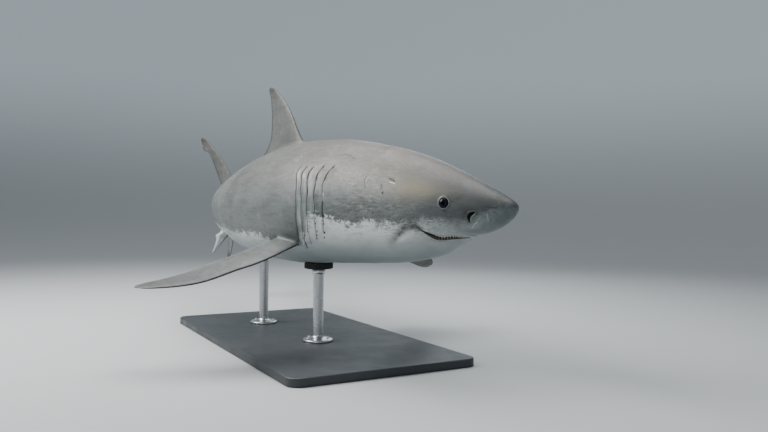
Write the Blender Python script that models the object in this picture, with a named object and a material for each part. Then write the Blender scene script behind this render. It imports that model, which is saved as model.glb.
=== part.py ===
# Great white shark, life size, held level on a display stand as a museum shows it.
# The body is one smooth form, parted by thin cuts into the lengths that a person would name.
# Run with: blender --background --python part.py
# Frame: +X towards the head, +Y the shark's left, +Z up, origin at the centre of the base's underside.
# Body measures are in hundredths of the total length. "s" runs back from the snout tip along the body,
# "side" is positive to the shark's left, and "up" is measured from the level of the snout tip.

import math

import bmesh
import bpy
import numpy as np
from mathutils import Matrix, Vector

# ---------------------------------------------------------------- driving dimensions
TOTAL_LENGTH = 4.0
PC = TOTAL_LENGTH / 100  # metres in one hundredth of the length
GAP = 0.0003  # clearance between neighbouring pieces, m
SNOUT = (1.413, 0.308, 0.75)  # snout tip, m: it puts the centre of mass over the base's centre

# Sections of the body: s, height of the back, of the belly, half width, and level of the widest point.
SECTIONS = (
    (0, 0, 0, 0, 0),
    (1, 0.9, -1.5, 1.2, 0),
    (2.5, 1.7, -2.34, 2.05, 0),
    (4, 2.42, -2.82, 2.72, 0),
    (5.5, 3.1, -3.14, 3.3, 0),
    (6.5, 3.58, -3.45, 3.67, 0),
    (7.5, 4.0, -4.22, 4.0, 0),
    (10, 5.0, -5.45, 4.7, -0.2),
    (14, 6.3, -6.3, 5.5, -0.4),
    (20, 7.6, -6.85, 6.3, -0.5),
    (26, 8.4, -7.15, 6.9, -0.5),
    (33, 8.6, -7.6, 7.2, -0.5),
    (40, 8.2, -7.6, 7.05, -0.4),
    (48, 7.15, -7.05, 6.65, -0.3),
    (56, 5.65, -5.9, 5.75, -0.2),
    (64, 4.15, -4.25, 4.15, 0),
    (72, 2.65, -2.6, 2.5, 0),
    (78, 1.75, -1.6, 1.6, 0),
    (84, 1.3, -1.15, 1.1, 0),
    (88, 0.4, -0.35, 0.3, 0),
)
BACK_POWER = 1.78  # a section's upper half: 2 is an ellipse, less is more like a roof
BELLY_POWER = 2.0
COLUMNS = 32  # points round a section
OUTLINE_STEPS = 12  # points along the mouth's line
FINE_STEPS = 400  # places tried where a line has to be measured

# Heading of the body's axis, in degrees to the left of +X, along s: head to its left, tail swinging.
BEND = ((0, 16), (24, 16), (40, 2.5), (56, -1), (70, -19), (82, -14), (92, 12), (100, 28))

KEEL = ((72, 0), (77, 0.75), (82, 1.15), (86, 0.7), (88, 0.1))  # how far the tail keels stand out
KEEL_SPREAD = 7  # degrees of the section to either side of a keel

# Rings of the body, and the cuts between its named lengths.
RINGS = (0.15, 0.6, 1.2, 2, 3, 4, 5, 5.7, 6.4, 7.2, 8, 9, 10.2, 11.6, 13, 15, 18, 21.2, 23.7, 26.2, 28.8,
         32, 36, 40, 44, 47.5, 51, 54.5, 58.5, 62.5, 66, 69, 72, 75, 77.5, 80, 82, 84, 86, 88)
LENGTHS = (("head", 0, 21.2), ("gill_region", 21.2, 28.8), ("trunk", 28.8, 51),
           ("rear_trunk", 51, 66), ("tail_stalk", 66, 88))

# Mouth: its line from the front to the corner as (s, up), and how far it is open.
MOUTH_LINE = ((4.8, -3.55), (5.95, -3.33), (6.5, -3.38), (7.4, -3.47), (8.4, -3.12), (9.4, -2.5))
MOUTH_OPEN = ((4.8, 0.2), (6.1, 0.2), (6.6, 0.3), (7.1, 0.44), (7.7, 0.5), (8.4, 0.34), (9.0, 0.16), (9.4, 0.01))
JAW_BACK = ((10.4, -3.3), (12.0, -5.2), (13.2, -9.0))  # the cut from the mouth's corner to the throat
JAW_REACH = 9.0  # half width and depth of the block that parts the jaw
TOOTH = {"upper": (24, 0.34, 0.29, 0.16), "lower": (20, 0.32, 0.25, 0.36)}  # count, width, height, set in
TEETH_BACK = 8.9  # s of the last tooth
TOOTH_ROOT = 0.12  # how far a tooth reaches into the gum
TOOTH_THICK = 0.09
TOOTH_POINT = 0.06  # width of a tooth's tip, of its own
TOOTH_TAPER = 0.45  # how much smaller the last teeth are, of the front ones
MOUTH_HALF_WIDTH = 3.6
JAW_END = 15  # s where the body form that the jaw is cut from ends

EYE_SEAT = (6.62, 82.9)  # s, and degrees round the section from the back
EYE_RADIUS = 0.027
EYE_DEPTH = 0.020  # the eye is flatter from front to back
EYE_SUNK = 0.0125
NOSTRIL = ((3.5, 102), (4.3, 125))  # its two ends: s, and degrees round the section
NOSTRIL_HALF = (0.0045, 0.011)  # half its width, and its depth

# Gill slits: s at mid height, lowest point, highest point.
GILL_SLITS = (
    (22.3, -3.3, 3.4), (23.55, -4.1, 4.0), (24.75, -4.6, 4.4), (25.7, -4.7, 4.6), (26.55, -4.95, 4.7),
)
SLIT_BOW = 0.062  # how fast a slit curves back above and below its middle
SLIT_LEVEL = -0.8
SLIT_HALF_WIDTH = 0.09
SLIT_DEPTH = 0.34
SLIT_END_DEPTH = 0.03  # how far the slit's floor stands above the skin at its two ends
SLIT_REACH = 0.5  # how far the cutting blade stands out of the skin

# Fins on the middle line: height, leading edge, trailing edge.
FIRST_DORSAL = (
    (6.9, 33.5, 46.6), (7.5, 33.85, 49.2), (7.9, 34.2, 48.5), (8.6, 34.9, 47.5), (9.7, 36.0, 46.35),
    (10.8, 36.95, 45.95), (12, 37.9, 45.8), (13.2, 38.95, 45.8), (14.3, 40.15, 45.95), (15.5, 41.75, 46.2), (16.5, 43.35, 46.6),
    (17.2, 44.7, 47.0), (17.5, 45.7, 46.9),
)
SECOND_DORSAL = (
    (2.0, 70.3, 72.6), (2.65, 71.1, 72.9), (2.9, 71.4, 74.3), (3.2, 71.75, 73.5), (3.8, 72.5, 73.35),
    (4.25, 73.1, 73.6),
)
ANAL = (
    (-1.7, 72.2, 74.6), (-2.3, 73.0, 74.9), (-2.6, 73.4, 76.3), (-2.95, 73.8, 75.5), (-3.5, 74.5, 75.4),
    (-3.95, 75.1, 75.6),
)
UPPER_LOBE = (
    (0, 82.3, 88.8), (1.3, 84.0, 89.4), (3.0, 85.7, 91.3), (5.0, 87.5, 93.4), (7.0, 89.3, 94.7),
    (9.0, 91.8, 95.9), (10.6, 93.7, 97.0), (11.4, 94.7, 97.7), (11.9, 95.3, 99.2), (12.7, 96.3, 99.5),
    (13.6, 97.5, 99.9), (14.4, 98.9, 100.0),
)
LOWER_LOBE = (
    (0, 82.3, 88.8), (-1.2, 83.7, 88.5), (-2.8, 84.7, 88.6), (-4.8, 85.6, 88.9), (-6.8, 86.5, 89.3),
    (-8.4, 87.3, 89.7), (-9.6, 88.1, 90.0), (-10.3, 88.9, 90.0),
)
MEDIAN_THICKNESS = 0.10  # of the chord

# Paired fins: distance out along the fin, leading edge, trailing edge, both from the root point.
PECTORAL = (
    (-3.0, 2.6, 6.2), (-0.6, 1.65, 6.6), (0.9, 0.75, 7.7), (2.4, 0.45, 7.1), (4.6, 0.35, 6.7), (7, 0.6, 6.65),
    (9.5, 1.1, 6.8), (12, 1.75, 7.05), (14.2, 2.6, 7.3), (16, 3.5, 7.45), (17.4, 4.6, 7.5), (18.3, 5.7, 7.5),
    (18.7, 6.6, 7.4),
)
PECTORAL_ROOT = (26.5, 5.6, -5.0)  # s, out to the side, up
PECTORAL_POSE = (("left", 1, 9, -12), ("right", -1, 15.5, 6.5))  # degrees below level, leading edge down
PECTORAL_THICKNESS = 0.105
PELVIC = (
    (-1.2, -0.8, 4.6), (0.1, 0.2, 5.0), (0.5, 0.5, 6.5), (1.2, 1.1, 5.3), (2.2, 1.9, 4.6), (3.1, 2.7, 4.4),
    (3.8, 3.5, 4.4),
)
PELVIC_ROOT = (51.3, 4.6, -4.3)
PELVIC_DROP = 66
PELVIC_PITCH = 0
PELVIC_THICKNESS = 0.08
EDGE = 0.0009  # half the thickness of a fin's trailing edge, m
FIN_STEPS = (0.02, 0.09, 0.22, 0.42, 0.68, 1.0)  # places along the chord, of it

BASE_SIZE = (1.9, 0.95, 0.04)
BASE_CORNER = 0.06
BASE_EDGE = 0.006
ROD_PLACES = (("front", 31), ("rear", 48.5))  # s of each rod
ROD_RADIUS = 0.027
ROD_FOOT = ((0.080, 0), (0.080, 0.010), (0.074, 0.015), (0.038, 0.020))  # radius and height of its flange
ROD_WELD = 0.012  # height of the weld's slope above the flange
SADDLE_RADIUS = 0.075
SADDLE_SLOPE = 0.012
SADDLE_DEPTH = 0.028  # from the belly's lowest point down to the rod's top
SADDLE_RISE = 0.03
ROUND_SIDES = 20

MATERIALS = {  # colour, roughness, metallic
    "back_skin": ((0.22, 0.21, 0.20), 0.55, 0.0),
    "pale_skin": ((0.62, 0.63, 0.61), 0.55, 0.0),
    "eye": ((0.012, 0.012, 0.015), 0.08, 0.0),
    "base_paint": ((0.06, 0.065, 0.07), 0.4, 0.0),
    "rod_steel": ((0.55, 0.56, 0.57), 0.3, 1.0),
    "saddle_rubber": ((0.03, 0.03, 0.03), 0.7, 0.0),
}


# ---------------------------------------------------------------- curves and the body's surface
def smooth_curve(xs, ys):
    """A smooth line through the points that never overshoots them, as a function of x."""
    xs, ys = np.asarray(xs, float), np.asarray(ys, float)
    step = np.diff(xs)
    slope = np.diff(ys) / step
    near, far = 2 * step[1:] + step[:-1], step[1:] + 2 * step[:-1]
    same_way = slope[:-1] * slope[1:] > 0
    safe = np.where(same_way, slope[:-1], 1), np.where(same_way, slope[1:], 1)
    inner = np.where(same_way, (near + far) / (near / safe[0] + far / safe[1]), 0)
    tangent = np.concatenate([slope[:1], inner, slope[-1:]])

    def curve(x):
        x = np.clip(np.asarray(x, float), xs[0], xs[-1])
        i = np.clip(np.searchsorted(xs, x, side="right") - 1, 0, len(step) - 1)
        t = (x - xs[i]) / step[i]
        rise = ys[i] * (1 + 2 * t) * (1 - t) ** 2 + ys[i + 1] * t * t * (3 - 2 * t)
        return rise + step[i] * (tangent[i] * t * (1 - t) ** 2 + tangent[i + 1] * t * t * (t - 1))

    return curve


SECTION_CURVES = [
    smooth_curve([math.sqrt(row[0]) for row in SECTIONS], [row[k] for row in SECTIONS]) for k in range(1, 5)
]
HEADING = smooth_curve(*zip(*BEND))
KEEL_CURVE = smooth_curve(*zip(*KEEL))
MOUTH_CURVE = smooth_curve(*zip(*MOUTH_LINE))
MOUTH_GAPE = smooth_curve(*zip(*MOUTH_OPEN))

AXIS_S = np.linspace(0, 102, 2041)
AXIS_HEADING = np.radians(HEADING(AXIS_S))


def running_sum(values):
    """The integral of the values along the axis, from the snout."""
    return np.concatenate([[0], np.cumsum((values[1:] + values[:-1]) / 2 * np.diff(AXIS_S))])


AXIS_X = SNOUT[0] - PC * running_sum(np.cos(AXIS_HEADING))
AXIS_Y = SNOUT[1] - PC * running_sum(np.sin(AXIS_HEADING))


def placed(s, side, up):
    """World points, in metres, of places given by s, side and up in hundredths of the length."""
    s, side, up = np.broadcast_arrays(*(np.asarray(v, float) for v in (s, side, up)))
    turn = np.interp(s, AXIS_S, AXIS_HEADING)
    x = np.interp(s, AXIS_S, AXIS_X) - PC * side * np.sin(turn)
    y = np.interp(s, AXIS_S, AXIS_Y) + PC * side * np.cos(turn)
    return np.stack([x, y, SNOUT[2] + PC * up], -1)


def section(s, angle, grow=0.0):
    """Side and up of the body's surface at s, at an angle from the back round its left side."""
    back, belly, half_width, level = (curve(np.sqrt(s)) for curve in SECTION_CURVES)
    cos, sin = np.cos(angle), np.sin(angle)
    power = np.where(cos >= 0, 2 / BACK_POWER, 2 / BELLY_POWER)
    height = np.where(cos >= 0, back - level, level - belly) + grow
    from_keel = (np.degrees(np.arccos(np.clip(np.abs(sin), 0, 1)))) / KEEL_SPREAD
    keel = np.where(s > KEEL[0][0], KEEL_CURVE(s), 0) * np.exp(-from_keel**2)
    side = np.sign(sin) * ((half_width + grow) * np.abs(sin) ** power + keel)
    return side, level + height * np.sign(cos) * np.abs(cos) ** power


def surface(s, angle):
    return placed(s, *section(np.asarray(s, float), angle))


def surface_side(s, up):
    """Half the body's width at s and at a height."""
    back, belly, half_width, level = (curve(np.sqrt(s)) for curve in SECTION_CURVES)
    upper = up >= level
    share = np.where(upper, (up - level) / (back - level), (level - up) / (level - belly))
    power = np.where(upper, BACK_POWER, BELLY_POWER)
    return half_width * (1 - np.clip(share, 0, 1) ** power) ** (1 / power)


def surface_frame(s, degrees, hand):
    """A matrix at a place on the skin: X towards the snout, Z out of the skin, and Y across them."""
    angle = math.radians(degrees) * hand
    at, ahead, below = (Vector(surface(*p)) for p in ((s, angle), (s - 0.05, angle), (s, angle + 0.01)))
    along = (ahead - at).normalized()
    out = along.cross(below - at).normalized()
    return Matrix.Translation(at) @ Matrix((along, out.cross(along), out)).transposed().to_4x4()


# ---------------------------------------------------------------- meshes
def material(name):
    made = bpy.data.materials.get(name)
    if made is None:
        colour, roughness, metallic = MATERIALS[name]
        made = bpy.data.materials.new(name)
        made.use_nodes = True
        shader = made.node_tree.nodes["Principled BSDF"]
        shader.inputs["Base Color"].default_value = (*colour, 1)
        shader.inputs["Roughness"].default_value = roughness
        shader.inputs["Metallic"].default_value = metallic
    return made


def new_object(name, mesh, finish=None, sharp=40):
    """An object from a bmesh, shaded smooth with its sharp edges kept. With no finish it is a cutter."""
    bmesh.ops.recalc_face_normals(mesh, faces=mesh.faces)
    data = bpy.data.meshes.new(name)
    mesh.to_mesh(data)
    mesh.free()
    data.shade_smooth()
    data.set_sharp_from_angle(angle=math.radians(sharp))
    made = bpy.data.objects.new(name, data)
    bpy.context.collection.objects.link(made)
    if finish is None:
        made.hide_render = True
        made.display_type = "WIRE"
    else:
        data.materials.append(material(finish))
    return made


def add_loft(mesh, rings, nose=None):
    """Triangles from ring to ring, with both ends closed, or the first drawn to a point."""
    rows = [[mesh.verts.new(point) for point in ring] for ring in rings]
    count = len(rows[0])
    following = [(i + 1) % count for i in range(count)]
    for near, far in zip(rows, rows[1:]):
        for i, j in enumerate(following):
            mesh.faces.new((near[i], near[j], far[j]))
            mesh.faces.new((near[i], far[j], far[i]))
    if nose is None:
        mesh.faces.new(rows[0])
    else:
        tip = mesh.verts.new(nose)
        for i, j in enumerate(following):
            mesh.faces.new((tip, rows[0][j], rows[0][i]))
    mesh.faces.new(rows[-1])


def body_rings(first, last, grow=0.0):
    """Rings from first to last, each drawn back from its end by half the gap unless it is a cutter."""
    angles = np.linspace(0, 2 * math.pi, COLUMNS, endpoint=False)
    inset = 0 if grow else GAP / PC / 2
    places = [s for s in RINGS if first <= s <= last]
    if first > 0:
        places[0] += inset
    if last < RINGS[-1]:
        places[-1] -= inset
    return [placed(s, *section(s, angles, grow)) for s in places]


def body_length(name, first, last, finish="back_skin"):
    mesh = bmesh.new()
    add_loft(mesh, body_rings(first, last), nose=placed(0, 0, 0) if first == 0 else None)
    return new_object(name, mesh, finish)


def whole_body_cutter():
    """The whole body, larger by the gap: what stands on the body is trimmed by it."""
    mesh = bmesh.new()
    add_loft(mesh, body_rings(0, RINGS[-1], grow=GAP / PC), nose=placed(-GAP / PC, 0, 0))
    return new_object("body_cutter", mesh)


def cut(target, cutter, operation="DIFFERENCE"):
    step = target.modifiers.new(cutter.name, "BOOLEAN")
    step.operation = operation
    step.solver = "EXACT"
    step.object = cutter


# ---------------------------------------------------------------- head
def side_prism(name, outline):
    """A block with the outline (s, up) seen from the side, reaching past both sides of the head."""
    mesh = bmesh.new()
    s, up = np.array(outline).T
    add_loft(mesh, [placed(s, side, up) for side in (-JAW_REACH, JAW_REACH)])
    return new_object(name, mesh)


def jaw_outline(lift, spread):
    """The jaw's outline from the side; lift moves the mouth's edge up, and spread the cut behind it back."""
    front = np.linspace(MOUTH_LINE[0][0], MOUTH_LINE[-1][0], OUTLINE_STEPS)
    edge = MOUTH_CURVE(front) + lift * MOUTH_GAPE(front) / 2
    back = [(s + spread, up + spread / 2) for s, up in JAW_BACK]
    return [(front[0], -JAW_REACH), *zip(front, edge), *back]


def lip_points(count, set_in):
    """Even places along the mouth's line from its right corner to its left, set in from the skin.

    The line is where the mouth's height meets the body's surface. Each row is s and side."""
    s = np.linspace(MOUTH_LINE[0][0], TEETH_BACK, FINE_STEPS)
    side = surface_side(s, MOUTH_CURVE(s))
    s, side = s[side > 0], side[side > 0]
    line = np.concatenate([np.stack([s, -side], 1)[::-1], np.stack([s, side], 1)])
    ahead = np.gradient(line, axis=0)
    ahead /= np.linalg.norm(ahead, axis=1)[:, None]
    line = line + set_in * np.stack([ahead[:, 1], -ahead[:, 0]], 1)
    run = np.concatenate([[0], np.cumsum(np.linalg.norm(np.diff(line, axis=0), axis=1))])
    even = (np.arange(count) + 0.5) / count * run[-1]
    return [np.array([np.interp(even, run, part[:, k]) for k in (0, 1)]).T for part in (line, ahead)]


def tooth_row(name, row, hand):
    """Flat pointed teeth in one row; hand is -1 for the upper row, whose points are down."""
    count, width, height, set_in = TOOTH[row]
    mesh = bmesh.new()
    for (s, side), (along_s, along_side) in zip(*lip_points(count, set_in)):
        size = 1 - TOOTH_TAPER * min(1, abs(side) / MOUTH_HALF_WIDTH) ** 2
        half, thick = width * size / 2, TOOTH_THICK * size / 2
        gum = MOUTH_CURVE(s) - hand * MOUTH_GAPE(s) / 2
        corners = ((-half, 0), (0, thick), (half, 0), (0, -thick))
        rings = []
        for share, rise in ((1, -TOOTH_ROOT), (TOOTH_POINT, height * size)):
            places = [(s + share * (a * along_s + b * along_side), side + share * (a * along_side - b * along_s))
                      for a, b in corners]
            rings.append([placed(*place, gum + hand * rise) for place in places])
        add_loft(mesh, rings)
    return new_object(name, mesh)


def ellipsoid(name, frame, radii, finish=None, detail=(14, 9)):
    mesh = bmesh.new()
    bmesh.ops.create_uvsphere(mesh, u_segments=detail[0], v_segments=detail[1], radius=1,
                              matrix=frame @ Matrix.Diagonal((*radii, 1)))
    return new_object(name, mesh, finish)


def eye(hand_name, hand, head):
    frame = surface_frame(*EYE_SEAT, hand) @ Matrix.Translation((0, 0, -EYE_SUNK))
    radii = np.array((EYE_RADIUS, EYE_RADIUS, EYE_DEPTH))
    ellipsoid("eye_" + hand_name, frame, radii, "eye")
    cut(head, ellipsoid("eye_socket_" + hand_name, frame, radii + GAP))


def nostril_cutter(hand_name, hand):
    """A narrow slot on a slant across the side of the snout."""
    (front_s, front_angle), (back_s, back_angle) = NOSTRIL
    seat = surface_frame((front_s + back_s) / 2, (front_angle + back_angle) / 2, hand)
    ends = [surface_frame(s, angle, hand).translation for s, angle in NOSTRIL]
    along = (ends[1] - ends[0]).normalized()
    out = seat.to_3x3().col[2]
    across = out.cross(along).normalized()
    turn = Matrix((along, across, along.cross(across))).transposed().to_4x4()
    half_width, depth = NOSTRIL_HALF
    radii = ((ends[1] - ends[0]).length / 2, half_width, depth)
    frame = Matrix.Translation(seat.translation) @ turn
    return ellipsoid("nostril_" + hand_name, frame, radii, detail=(10, 6))


def head_and_jaw():
    name, first, last = LENGTHS[0]
    head = body_length(name, first, last)
    jaw = body_length("lower_jaw", first, JAW_END, "pale_skin")
    cut(head, side_prism("mouth_cutter", jaw_outline(1, GAP / PC)))
    cut(jaw, side_prism("jaw_block", jaw_outline(-1, 0)), "INTERSECT")
    cut(head, tooth_row("upper_teeth", "upper", -1), "UNION")
    cut(jaw, tooth_row("lower_teeth", "lower", 1), "UNION")
    for hand_name, hand in (("left", 1), ("right", -1)):
        eye(hand_name, hand, head)
        cut(head, nostril_cutter(hand_name, hand))


# ---------------------------------------------------------------- gill slits
def gill_cutter():
    """Five bowed blades on each side, deepest at their middle and running out at their ends."""
    mesh = bmesh.new()
    share = np.linspace(0, 1, 7)
    for middle, low, high in GILL_SLITS:
        up = low + (high - low) * share
        s = middle + SLIT_BOW * (up - SLIT_LEVEL) ** 2
        out = surface_side(s, up)
        inner = out - SLIT_DEPTH * np.sin(math.pi * share) ** 0.6 + SLIT_END_DEPTH
        for hand in (1, -1):
            corners = ((-1, inner), (1, inner), (1, out + SLIT_REACH), (-1, out + SLIT_REACH))
            rows = np.stack([placed(s + way * SLIT_HALF_WIDTH, hand * side, up) for way, side in corners], 1)
            add_loft(mesh, rows)
    return new_object("gill_cutter", mesh)


# ---------------------------------------------------------------- fins
def fin_section(chord, thickness):
    """Chord places and half thicknesses round a streamlined section, from the leading edge and back to it."""
    x = np.array((0, *FIN_STEPS))
    shape = 0.2969 * np.sqrt(x) - 0.1260 * x - 0.3516 * x**2 + 0.2843 * x**3 - 0.1015 * x**4
    half = 5 * thickness * chord * shape + EDGE / PC * x
    return np.concatenate([x, x[:0:-1]]), np.concatenate([half, -half[:0:-1]])


def median_fin(name, rows, body, finish="back_skin"):
    """A fin on the body's middle line, trimmed to the body's surface."""
    rings = []
    for up, lead, trail in rows:
        along, half = fin_section(trail - lead, MEDIAN_THICKNESS)
        rings.append(placed(lead + along * (trail - lead), half, up))
    mesh = bmesh.new()
    add_loft(mesh, rings)
    cut(new_object(name, mesh, finish), body)


def tail_lobe(name, rows, body):
    """One lobe of the tail fin; it keeps off the middle line by half the gap."""
    clear = math.copysign(GAP / PC / 2, rows[-1][0])
    median_fin(name, ((clear, *rows[0][1:]), *rows[1:]), body)


def paired_fin(name, rows, root, drop, pitch, thickness, hand, body, finish="back_skin"):
    """A stiff fin that leaves the flank at an angle below level, with its leading edge turned down."""
    s, out, up = root
    start = np.array(placed(s, hand * out, up))
    back = np.array(placed(s + 1, 0, 0) - placed(s, 0, 0)) / PC
    outward = hand * np.array((back[1], -back[0], 0))
    drop, pitch = math.radians(drop), math.radians(pitch)
    span = outward * math.cos(drop) - np.array((0, 0, math.sin(drop)))
    upward = outward * math.sin(drop) + np.array((0, 0, math.cos(drop)))
    chord_way = back * math.cos(pitch) + upward * math.sin(pitch)
    thick_way = upward * math.cos(pitch) - back * math.sin(pitch)
    rings = []
    for distance, lead, trail in rows:
        along, half = fin_section(trail - lead, thickness)
        along = lead + along * (trail - lead)
        rings.append(start + PC * (distance * span + np.outer(along, chord_way) + np.outer(half, thick_way)))
    mesh = bmesh.new()
    add_loft(mesh, rings)
    cut(new_object(name, mesh, finish), body)


def fins(body):
    median_fin("first_dorsal_fin", FIRST_DORSAL, body)
    median_fin("second_dorsal_fin", SECOND_DORSAL, body)
    median_fin("anal_fin", ANAL, body, "pale_skin")
    tail_lobe("caudal_fin_upper", UPPER_LOBE, body)
    tail_lobe("caudal_fin_lower", LOWER_LOBE, body)
    for hand_name, hand, drop, pitch in PECTORAL_POSE:
        paired_fin("pectoral_fin_" + hand_name, PECTORAL, PECTORAL_ROOT, drop, pitch, PECTORAL_THICKNESS, hand, body)
        paired_fin("pelvic_fin_" + hand_name, PELVIC, PELVIC_ROOT, PELVIC_DROP, PELVIC_PITCH,
                   PELVIC_THICKNESS, hand, body, "pale_skin")


# ---------------------------------------------------------------- display stand
def stand_base():
    height = BASE_SIZE[2]
    mesh = bmesh.new()
    place = Matrix.Translation((0, 0, height / 2)) @ Matrix.Diagonal((*BASE_SIZE, 1))
    bmesh.ops.create_cube(mesh, size=1, matrix=place)
    upright = [e for e in mesh.edges if abs(e.verts[0].co.z - e.verts[1].co.z) > height / 2]
    bmesh.ops.bevel(mesh, geom=upright, offset=BASE_CORNER, segments=5, affect="EDGES", profile=0.5)
    top = [e for e in mesh.edges if min(v.co.z for v in e.verts) > height * 0.9 and len(e.link_faces) == 2
           and any(abs(f.normal.z) < 0.5 for f in e.link_faces)]
    bmesh.ops.bevel(mesh, geom=top, offset=BASE_EDGE, segments=2, affect="EDGES", profile=0.5)
    new_object("stand_base", mesh, "base_paint")


def turned(mesh, centre, profile):
    """A solid turned about an upright axis, from its profile of radius and height, bottom to top."""
    turns = np.linspace(0, 2 * math.pi, ROUND_SIDES, endpoint=False)
    ring = np.stack([np.cos(turns), np.sin(turns)], 1)
    level = np.ones(ROUND_SIDES)
    add_loft(mesh, [np.column_stack([centre + radius * ring, z * level]) for radius, z in profile])


def stand_rod(place, s, body):
    """A rod with a welded foot, and the padded saddle on it that takes the belly's shape."""
    belly = placed(s, *section(s, math.pi))
    foot = BASE_SIZE[2] + GAP
    top = belly[2] - SADDLE_DEPTH
    profile = [(radius, foot + height) for radius, height in ROD_FOOT]
    rod = bmesh.new()
    turned(rod, belly[:2], [*profile, (ROD_RADIUS, profile[-1][1] + ROD_WELD), (ROD_RADIUS, top)])
    new_object("stand_rod_" + place, rod, "rod_steel")
    saddle = bmesh.new()
    under, over = top + GAP, belly[2] + SADDLE_RISE
    turned(saddle, belly[:2], [(SADDLE_RADIUS - SADDLE_SLOPE, under), (SADDLE_RADIUS, under + SADDLE_SLOPE),
                               (SADDLE_RADIUS, over)])
    cut(new_object("stand_saddle_" + place, saddle, "saddle_rubber"), body)


def build():
    for old in list(bpy.data.objects):
        bpy.data.objects.remove(old)
    body = whole_body_cutter()
    head_and_jaw()
    for name, first, last in LENGTHS[1:]:
        length = body_length(name, first, last)
        if name == "gill_region":
            cut(length, gill_cutter())
    fins(body)
    stand_base()
    for place, s in ROD_PLACES:
        stand_rod(place, s, body)


build()
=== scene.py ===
import bmesh
import bpy
import numpy as np
from mathutils import Matrix, Vector


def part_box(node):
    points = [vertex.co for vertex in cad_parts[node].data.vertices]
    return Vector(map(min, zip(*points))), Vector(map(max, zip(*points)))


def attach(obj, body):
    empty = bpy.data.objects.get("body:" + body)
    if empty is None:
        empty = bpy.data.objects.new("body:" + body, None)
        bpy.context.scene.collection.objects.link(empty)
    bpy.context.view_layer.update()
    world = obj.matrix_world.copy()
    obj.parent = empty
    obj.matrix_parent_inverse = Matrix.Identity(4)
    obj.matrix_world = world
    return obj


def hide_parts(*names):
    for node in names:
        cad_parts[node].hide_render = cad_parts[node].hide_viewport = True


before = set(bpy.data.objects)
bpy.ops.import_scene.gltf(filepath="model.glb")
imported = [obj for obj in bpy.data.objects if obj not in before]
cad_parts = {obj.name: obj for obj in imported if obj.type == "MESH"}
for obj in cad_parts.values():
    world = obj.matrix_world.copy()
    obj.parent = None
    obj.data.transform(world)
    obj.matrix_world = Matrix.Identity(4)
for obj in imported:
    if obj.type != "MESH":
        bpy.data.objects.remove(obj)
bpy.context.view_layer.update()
print("frame loaded")

body = {
    "length": 4.0,
    "sections": (  # s, height of the back, of the belly, half width, level of the widest point
        (0, 0, 0, 0, 0), (1, 0.9, -1.5, 1.2, 0), (2.5, 1.7, -2.34, 2.05, 0), (4, 2.42, -2.82, 2.72, 0),
        (5.5, 3.1, -3.14, 3.3, 0), (6.5, 3.58, -3.45, 3.67, 0), (7.5, 4.0, -4.22, 4.0, 0),
        (10, 5.0, -5.45, 4.7, -0.2), (14, 6.3, -6.3, 5.5, -0.4),
        (20, 7.6, -6.85, 6.3, -0.5), (26, 8.4, -7.15, 6.9, -0.5), (33, 8.6, -7.6, 7.2, -0.5),
        (40, 8.2, -7.6, 7.05, -0.4), (48, 7.15, -7.05, 6.65, -0.3), (56, 5.65, -5.9, 5.75, -0.2),
        (64, 4.15, -4.25, 4.15, 0), (72, 2.65, -2.6, 2.5, 0), (78, 1.75, -1.6, 1.6, 0),
        (84, 1.3, -1.15, 1.1, 0), (89.3, 0.3, -0.28, 0.22, 0),
    ),
    "backPower": 1.78,  # a section's upper half: 2 is an ellipse, less is more like a roof
    "bellyPower": 2.0,
    "bend": ((0, 16), (24, 16), (40, 2.5), (56, -1), (70, -19), (82, -14), (92, 12), (100, 28)),
    "keel": ((72, 0), (77, 0.75), (82, 1.15), (86, 0.7), (88.5, 0.05)),
    "keelSpread": 7,
    "columns": 160,  # points round the front of the body; the rear has half as many
    "crowding": 0.25,  # how much closer the points lie on the flanks than on the back and belly
    "halvedAt": 50.5,  # s where the rear begins
    "spacing": (  # s, and the distance from row to row there
        (0, 0.05), (1, 0.1), (3, 0.12), (12, 0.15), (17, 0.27), (20.5, 0.18), (28, 0.24), (31, 0.36),
        (36, 0.46), (50, 0.54), (58, 0.6), (70, 0.42), (80, 0.28), (87, 0.16), (89.3, 0.08),
    ),
}
pc = body["length"] / 100


# ---- curves and the body's surface
def smoothCurve(pairs):
    # A cubic through the points, whose slope at each is the harmonic mean of its neighbours' slopes, or 0 at
    # a turning point, so that it never overshoots.
    xs, ys = np.array(pairs, float).T
    step = np.diff(xs)
    slope = np.diff(ys) / step
    near, far = 2 * step[1:] + step[:-1], step[1:] + 2 * step[:-1]
    same = slope[:-1] * slope[1:] > 0
    before, after = np.where(same, slope[:-1], 1), np.where(same, slope[1:], 1)
    inner = np.where(same, (near + far) / (near / before + far / after), 0)
    tangent = np.concatenate([slope[:1], inner, slope[-1:]])

    def curve(x):
        x = np.clip(np.asarray(x, float), xs[0], xs[-1])
        i = np.clip(np.searchsorted(xs, x, side="right") - 1, 0, len(step) - 1)
        t = (x - xs[i]) / step[i]
        rise = ys[i] * (1 + 2 * t) * (1 - t) ** 2 + ys[i + 1] * t * t * (3 - 2 * t)
        return rise + step[i] * (tangent[i] * t * (1 - t) ** 2 + tangent[i + 1] * t * t * (t - 1))

    return curve


def ramp(x, low, high):
    # 0 below low, 1 above high, and a smooth S between.
    t = np.clip((np.asarray(x, float) - low) / (high - low), 0, 1)
    return t * t * (3 - 2 * t)


def bump(x, width):
    return np.exp(-(np.asarray(x, float) / width) ** 2)


outsideShare = 9  # any share above 1, for points behind the body's end
sectionCurves = [smoothCurve([(row[0] ** 0.5, row[k]) for row in body["sections"]]) for k in range(1, 5)]
headingCurve = smoothCurve(body["bend"])
keelCurve = smoothCurve(body["keel"])

headPoints = np.empty(len(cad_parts["head"].data.vertices) * 3)
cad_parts["head"].data.vertices.foreach_get("co", headPoints)
headPoints = headPoints.reshape(-1, 3)
snoutTip = headPoints[headPoints[:, 0].argmax()]

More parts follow.
